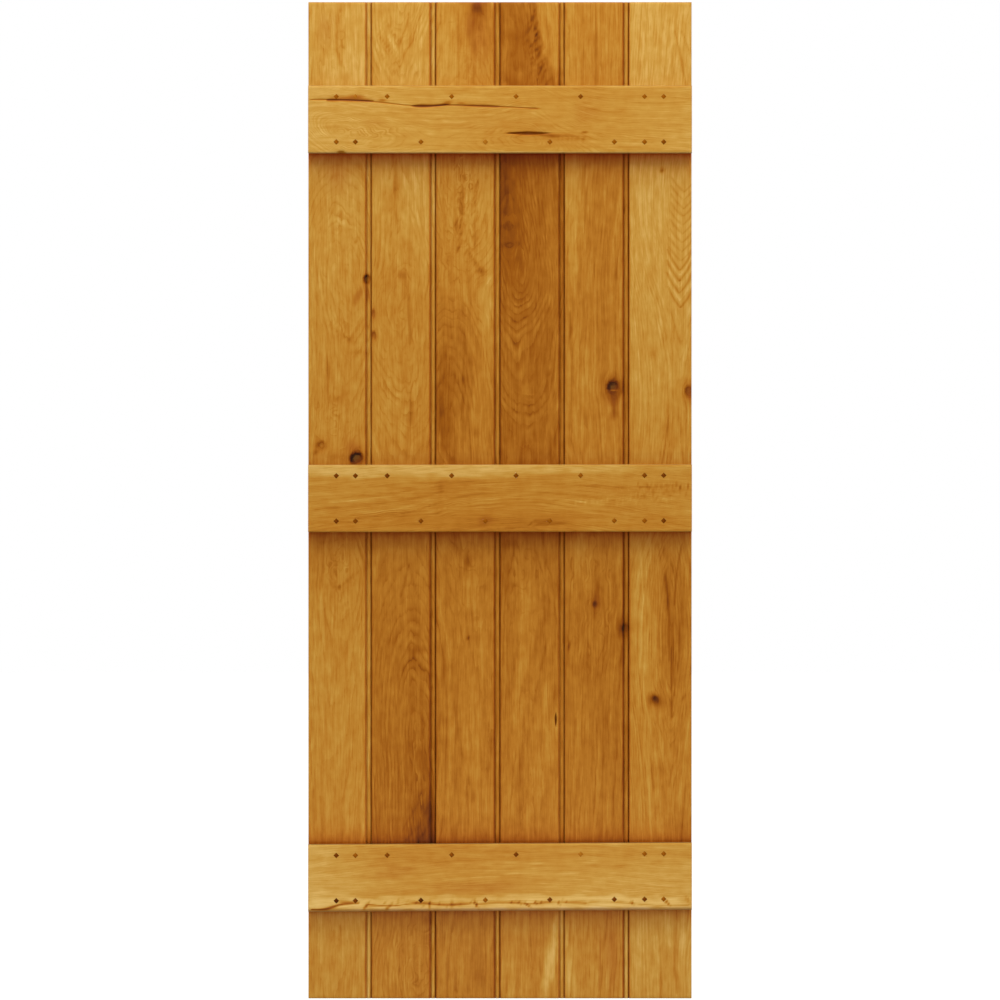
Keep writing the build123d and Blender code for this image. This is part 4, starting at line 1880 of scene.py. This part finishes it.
@dataclass(frozen=True)
class OakFinish:
    """An oiled finish: how strongly the figure shows, how it shines and how deep its pores are."""

    name: str
    ring_strength: float
    fibre_strength: float
    pore_strength: float
    gloss: float
    roughness: tuple[float, float]
    bump: float
    relief: float = 0.0006

    def material(self, figure: bpy.types.NodeTree, stain: bpy.types.NodeTree) -> bpy.types.Material:
        """Makes the material.

        Args:
            figure: The group that draws the figure.
            stain: The group that colours it.

        Returns:
            The new material.
        """
        material = bpy.data.materials.new(self.name)
        material.use_nodes = True
        make = NodeMaker(material.node_tree)
        shader = material.node_tree.nodes["Principled BSDF"]
        grain = make.trait(Trait.GRAIN)
        drawn = make.add("ShaderNodeGroup", node_tree=figure)
        wires = {"Ring": Trait.RING, "Tone": Trait.TONE, "Ray": Trait.RAY, "Bold": Trait.BOLD}
        for label, trait in wires.items():
            make.wire(make.trait(trait), drawn, label)
        make.wire(grain, drawn, "Grain")
        drawn.inputs["Ring Strength"].default_value = self.ring_strength
        drawn.inputs["Fibre Strength"].default_value = self.fibre_strength
        drawn.inputs["Pore Strength"].default_value = self.pore_strength
        oiled = make.add("ShaderNodeGroup", node_tree=stain)
        wires = {"Blush": Trait.BLUSH, "Crevice": Trait.CREVICE, "Pool": Trait.POOL,
                 "Dust": Trait.DUST, "Knot": Trait.KNOT, "Knot Tone": Trait.KNOT_TONE,
                 "End Grain": Trait.END}
        for label, trait in wires.items():
            make.wire(make.trait(trait), oiled, label)
        make.wire(drawn.outputs["Tone"], oiled, "Tone")
        make.wire(grain, oiled, "Grain")
        make.wire(oiled.outputs["Color"], shader, "Base Color")
        shine = make.ramp(drawn.outputs["Pores"], 0.0, 1.0, *self.roughness)
        make.wire(shine, shader, "Roughness")
        shader.inputs["Specular IOR Level"].default_value = self.gloss
        inputs = {"Height": drawn.outputs["Height"], "Strength": self.bump, "Distance": self.relief}
        relief = make.add("ShaderNodeBump", inputs)
        make.wire(relief.outputs[0], shader, "Normal")
        return material


@dataclass(frozen=True)
class PegRow:
    """The square pegs of one ledge, made by a node tree from their middles."""

    plan: LedgePlan
    chamfer: float = 0.5
    crown: float = 0.25
    crown_share: float = 0.55
    shrink: float = 0.08
    ring_pitch: float = 0.7
    turn: float = 45.0
    wobble: Triple = (0.004, 0.02, 0.004)
    seed: int = 5

    def peg(self, make: NodeMaker, given: bpy.types.NodeOutputs) -> Socket:
        """Adds one peg along Y, with both its ends chamfered and slightly crowned."""
        side, chamfer = given["Side"], given["Chamfer"]
        straight = make.math("SUBTRACT", given["Length"], make.math("MULTIPLY", chamfer, 2.0))
        size = make.add("ShaderNodeCombineXYZ", {"X": side, "Y": straight, "Z": side})
        cube = make.add("GeometryNodeMeshCube", {"Size": size.outputs[0]})
        normal = make.add("GeometryNodeInputNormal")
        split = make.add("ShaderNodeSeparateXYZ", {0: normal.outputs[0]})
        peg = cube.outputs["Mesh"]
        end = make.math("GREATER_THAN", make.math("ABSOLUTE", split.outputs["Y"]), 0.5)
        taper = make.math("SUBTRACT", 1.0, make.math("DIVIDE", chamfer, side))
        for rise, share in ((chamfer, taper), (given["Crown"], self.crown_share)):
            inputs = {"Mesh": peg, "Selection": end, "Offset Scale": rise}
            raised = make.add("GeometryNodeExtrudeMesh", inputs)
            end = raised.outputs["Top"]
            inputs = {"Geometry": raised.outputs["Mesh"], "Selection": end, "Scale": share}
            peg = make.add("GeometryNodeScaleElements", inputs).outputs["Geometry"]
        return peg

    def grained(self, make: NodeMaker, peg: Socket) -> Socket:
        """Stores the peg's grain, which runs down its length, and the rings in its end."""
        place = make.add("GeometryNodeInputPosition")
        split = make.add("ShaderNodeSeparateXYZ",
                         {0: make.vector("MULTIPLY", place.outputs[0], (1 / MM, 1 / MM, 1 / MM))})
        inputs = {"X": split.outputs["X"], "Y": split.outputs["Z"], "Z": split.outputs["Y"]}
        grain = make.add("ShaderNodeCombineXYZ", inputs).outputs[0]
        far = make.vector("LENGTH", make.vector("MULTIPLY", grain, (1.0, 1.0, 0.0)))
        rings = make.math("MULTIPLY", far, self.ring_pitch)
        for trait, value, kind in (
            (Trait.GRAIN, grain, "FLOAT_VECTOR"),
            (Trait.RING, rings, "FLOAT"),
        ):
            inputs = {"Geometry": peg, "Name": trait.value, "Value": value}
            node = make.add("GeometryNodeStoreNamedAttribute", inputs, data_type=kind)
            peg = node.outputs["Geometry"]
        return peg

    def tree(self, material: bpy.types.Material) -> bpy.types.NodeTree:
        """Makes the tree that sets a peg at every point.

        Args:
            material: The pegs' finish.

        Returns:
            The geometry node tree.
        """
        number = "NodeSocketFloat"
        make, given, out = new_group(
            f"{self.plan.name} pegs",
            "GeometryNodeTree",
            {
                "Geometry": ("NodeSocketGeometry", None),
                "Side": (number, 0.008),
                "Length": (number, 0.044),
                "Chamfer": (number, 0.0007),
                "Crown": (number, 0.0003),
                "Turn": (number, 0.785),
                "Seed": ("NodeSocketInt", 1),
            },
            {"Geometry": "NodeSocketGeometry"},
        )
        least = tuple(-angle for angle in self.wobble)
        inputs = {"Min": least, "Max": self.wobble, "Seed": given["Seed"]}
        wobble = make.add("FunctionNodeRandomValue", inputs, data_type="FLOAT_VECTOR")
        turned = make.add("ShaderNodeCombineXYZ", {"Y": given["Turn"]})
        setting = make.add("GeometryNodeInstanceOnPoints", {
            "Points": given["Geometry"],
            "Instance": self.grained(make, self.peg(make, given)),
            "Rotation": make.vector("ADD", turned.outputs[0], wobble.outputs[0]),
        })
        real = make.add("GeometryNodeRealizeInstances", {"Geometry": setting.outputs[0]})
        inputs = {"Geometry": real.outputs[0], "Material": material}
        finished = make.add("GeometryNodeSetMaterial", inputs)
        make.wire(finished.outputs[0], out, "Geometry")
        return make.tree

    def build(self, material: bpy.types.Material) -> bpy.types.Object:
        """Makes the ledge's pegs as one plain mesh.

        Args:
            material: The pegs' finish.

        Returns:
            The finished piece.
        """
        middles = self.plan.pegs()
        points = bpy.data.meshes.new(f"{self.plan.name} peg points")
        depth = (LEAF.low.y + LEAF.high.y) / 2
        points.from_pydata([(m.x * MM, depth * MM, m.z * MM) for m in middles], [], [])
        names = self.plan.peg_nodes()
        tones = np.array([self.plan.peg_tone(name) for name in names])
        keep_trait(points, Trait.TONE, tones)
        holder = new_object(f"{self.plan.name}_pegs", points)
        modifier = holder.modifiers.new("pegs", "NODES")
        tree = self.tree(material)
        modifier.node_group = tree
        side = math.sqrt(2) * PEG_REACH - self.shrink
        sizes = {
            "Side": side * MM,
            "Length": (LEAF.high.y - LEAF.low.y) * MM,
            "Chamfer": self.chamfer * MM,
            "Crown": self.crown * MM,
            "Turn": math.radians(self.turn),
            "Seed": self.seed,
        }
        for item in tree.interface.items_tree:
            if item.in_out == "INPUT" and item.name in sizes:
                modifier[item.identifier] = sizes[item.name]
        graph = bpy.context.evaluated_depsgraph_get()
        mesh = bpy.data.meshes.new_from_object(holder.evaluated_get(graph))
        mesh.name = holder.name
        holder.modifiers.remove(modifier)
        holder.data = mesh
        ends = np.array([abs(v.co.y / MM - depth) for v in mesh.vertices])
        half = (LEAF.high.y - LEAF.low.y) / 2
        keep_trait(mesh, Trait.END, (ends > half - self.chamfer * 1.5).astype(float))
        keep_trait(mesh, Trait.KNOT, np.full(len(ends), NO_KNOT))
        keep_trait(mesh, Trait.BOLD, np.ones(len(ends)))
        for trait in (Trait.BLUSH, Trait.KNOT_TONE, Trait.CREVICE, Trait.POOL, Trait.DUST, Trait.RAY):
            keep_trait(mesh, trait, np.zeros(len(ends)))
        return dress(holder, material, names)


def dress(piece: bpy.types.Object, material: bpy.types.Material,
          nodes: Iterable[str]) -> bpy.types.Object:
    """Gives a piece its finish and ties it to the frame.

    Args:
        piece: The new piece.
        material: Its finish.
        nodes: The CAD nodes that the piece replaces.

    Returns:
        The same piece.
    """
    piece.data.materials.clear()
    piece.data.materials.append(material)
    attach(piece, "root")
    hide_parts(*nodes)
    log.info("%s: %d faces", piece.name, len(piece.data.polygons))
    return piece


@dataclass(frozen=True)
class Softbox:
    """A soft lamp before or behind the leaf, aimed at one height on it."""

    name: str
    y: float
    z: float
    width: float
    height: float
    share: float
    aim: float

    def build(self) -> bpy.types.Object:
        """Makes the lamp, with the power that gives its share of the light at its aim."""
        toward = Vector((0, self.y, self.z - self.aim))
        data = bpy.data.lights.new(self.name, "AREA")
        data.shape = "RECTANGLE"
        data.size, data.size_y = self.width, self.height
        data.energy = self.share * math.pi**2 * toward.length**3 / abs(self.y)
        lamp = new_object(self.name, data)
        lamp.location = (0, self.y, self.z)
        lamp.rotation_mode = "QUATERNION"
        lamp.rotation_quaternion = toward.to_track_quat("Z", "Y")
        lamp.visible_camera = False
        return lamp


@dataclass(frozen=True)
class Studio:
    """The camera, the lamps, the white surroundings and the pale floor."""

    camera_distance: float = 16.0
    camera_height: float = 0.991
    frame_height: float = 1.988
    sensor: float = 36.0
    surround_light: float = 1.0
    floor_size: float = 60.0
    floor_grey: float = 0.12
    floor_glow: float = 0.85
    glow_strength: float = 1.15
    shown_grey: float = 0.9
    clip_end: float = 200.0
    softboxes: tuple[Softbox, ...] = (
        Softbox("high softbox", -1.5, 4.5, 3.2, 2.4, 0.27, 0.99),
        Softbox("foot softbox", -0.92, 0.03, 1.1, 0.29, 0.38, 0.3),
        Softbox("rear softbox", 5.3, 4.45, 3.4, 3.9, 0.35, 0.99),
    )

    def camera(self) -> None:
        """Makes the camera square to the leaf, as far off as the photograph's looks."""
        data = bpy.data.cameras.new("camera")
        data.sensor_width = self.sensor
        data.lens = self.sensor * self.camera_distance / self.frame_height
        data.clip_end = self.clip_end
        camera = new_object("camera", data)
        camera.location = (0.0, -self.camera_distance, self.camera_height)
        camera.rotation_euler = (math.radians(90), 0.0, 0.0)
        bpy.context.scene.camera = camera

    @staticmethod
    def seen(make: NodeMaker) -> Socket:
        """Gives 1 for rays that see the surroundings and 0 for light that falls on the leaf."""
        path = make.add("ShaderNodeLightPath")
        seen = make.math("MAXIMUM", path.outputs["Is Camera Ray"], path.outputs["Is Glossy Ray"])
        return make.math("MAXIMUM", seen, path.outputs["Is Transmission Ray"])

    def world(self) -> None:
        """Makes the surroundings: white to the eye, dim as light."""
        world = bpy.data.worlds.new("white studio")
        world.use_nodes = True
        bpy.context.scene.world = world
        make = NodeMaker(world.node_tree)
        background = world.node_tree.nodes["Background"]
        background.inputs["Color"].default_value = (1.0, 1.0, 1.0, 1.0)
        inputs = {"Value": self.seen(make), "To Min": self.surround_light, "To Max": 1.0}
        strength = make.add("ShaderNodeMapRange", inputs)
        make.wire(strength.outputs[0], background, "Strength")

    def floor(self) -> None:
        """Makes the floor: white with a soft shadow to the eye, grey as light."""
        half = self.floor_size / 2
        mesh = bpy.data.meshes.new("floor")
        corners = [(-half, -half, 0), (half, -half, 0), (half, half, 0), (-half, half, 0)]
        mesh.from_pydata(corners, [], [(0, 1, 2, 3)])
        floor = new_object("floor", mesh)
        material = bpy.data.materials.new("pale floor")
        material.use_nodes = True
        make = NodeMaker(material.node_tree)
        material.node_tree.nodes.remove(material.node_tree.nodes["Principled BSDF"])
        grey = make.add("ShaderNodeBsdfDiffuse", {"Color": (*[self.floor_grey] * 3, 1)})
        pale = make.add("ShaderNodeBsdfDiffuse", {"Color": (*[self.shown_grey] * 3, 1)})
        inputs = {"Color": (1, 1, 1, 1), "Strength": self.glow_strength}
        glow = make.add("ShaderNodeEmission", inputs)
        inputs = {0: self.floor_glow, 1: pale.outputs[0], 2: glow.outputs[0]}
        shown = make.add("ShaderNodeMixShader", inputs)
        inputs = {0: self.seen(make), 1: grey.outputs[0], 2: shown.outputs[0]}
        both = make.add("ShaderNodeMixShader", inputs)
        make.wire(both.outputs[0], material.node_tree.nodes["Material Output"], "Surface")
        mesh.materials.append(material)

    def build(self) -> None:
        """Sets up the whole studio."""
        scene = bpy.context.scene
        scene.view_settings.view_transform = "Standard"
        self.camera()
        self.world()
        self.floor()
        for softbox in self.softboxes:
            softbox.build()


def make_finishes() -> dict[Slot, bpy.types.Material]:
    """Makes the three finishes from the two groups that they share."""
    figure, stain = make_figure_group(), make_stain_group()
    looks = {
        Slot.BOARD: OakFinish("Oiled oak boards", 0.054, 0.068, 0.05, 0.08, (0.42, 0.6), 0.25),
        Slot.LEDGE: OakFinish("Oiled oak ledges", 0.04, 0.05, 0.05, 0.08, (0.4, 0.58), 0.25),
        Slot.PEG: OakFinish("Oak peg ends", 0.06, 0.07, 0.06, 0.03, (0.5, 0.65), 0.3),
    }
    return {slot: look.material(figure, stain) for slot, look in looks.items()}


def main() -> None:
    """Builds the leaf and its studio."""
    logging.basicConfig(level=logging.INFO, format="%(name)s: %(message)s")
    Studio().build()
    finishes = make_finishes()
    for number in range(1, BOARD_COUNT + 1):
        BoardPlan(number).build(finishes[Slot.BOARD])
    for plan in LEDGES:
        Ledge(plan).build(finishes[Slot.LEDGE])
        PegRow(plan).build(finishes[Slot.PEG])


if __name__ == "__main__":
    main()
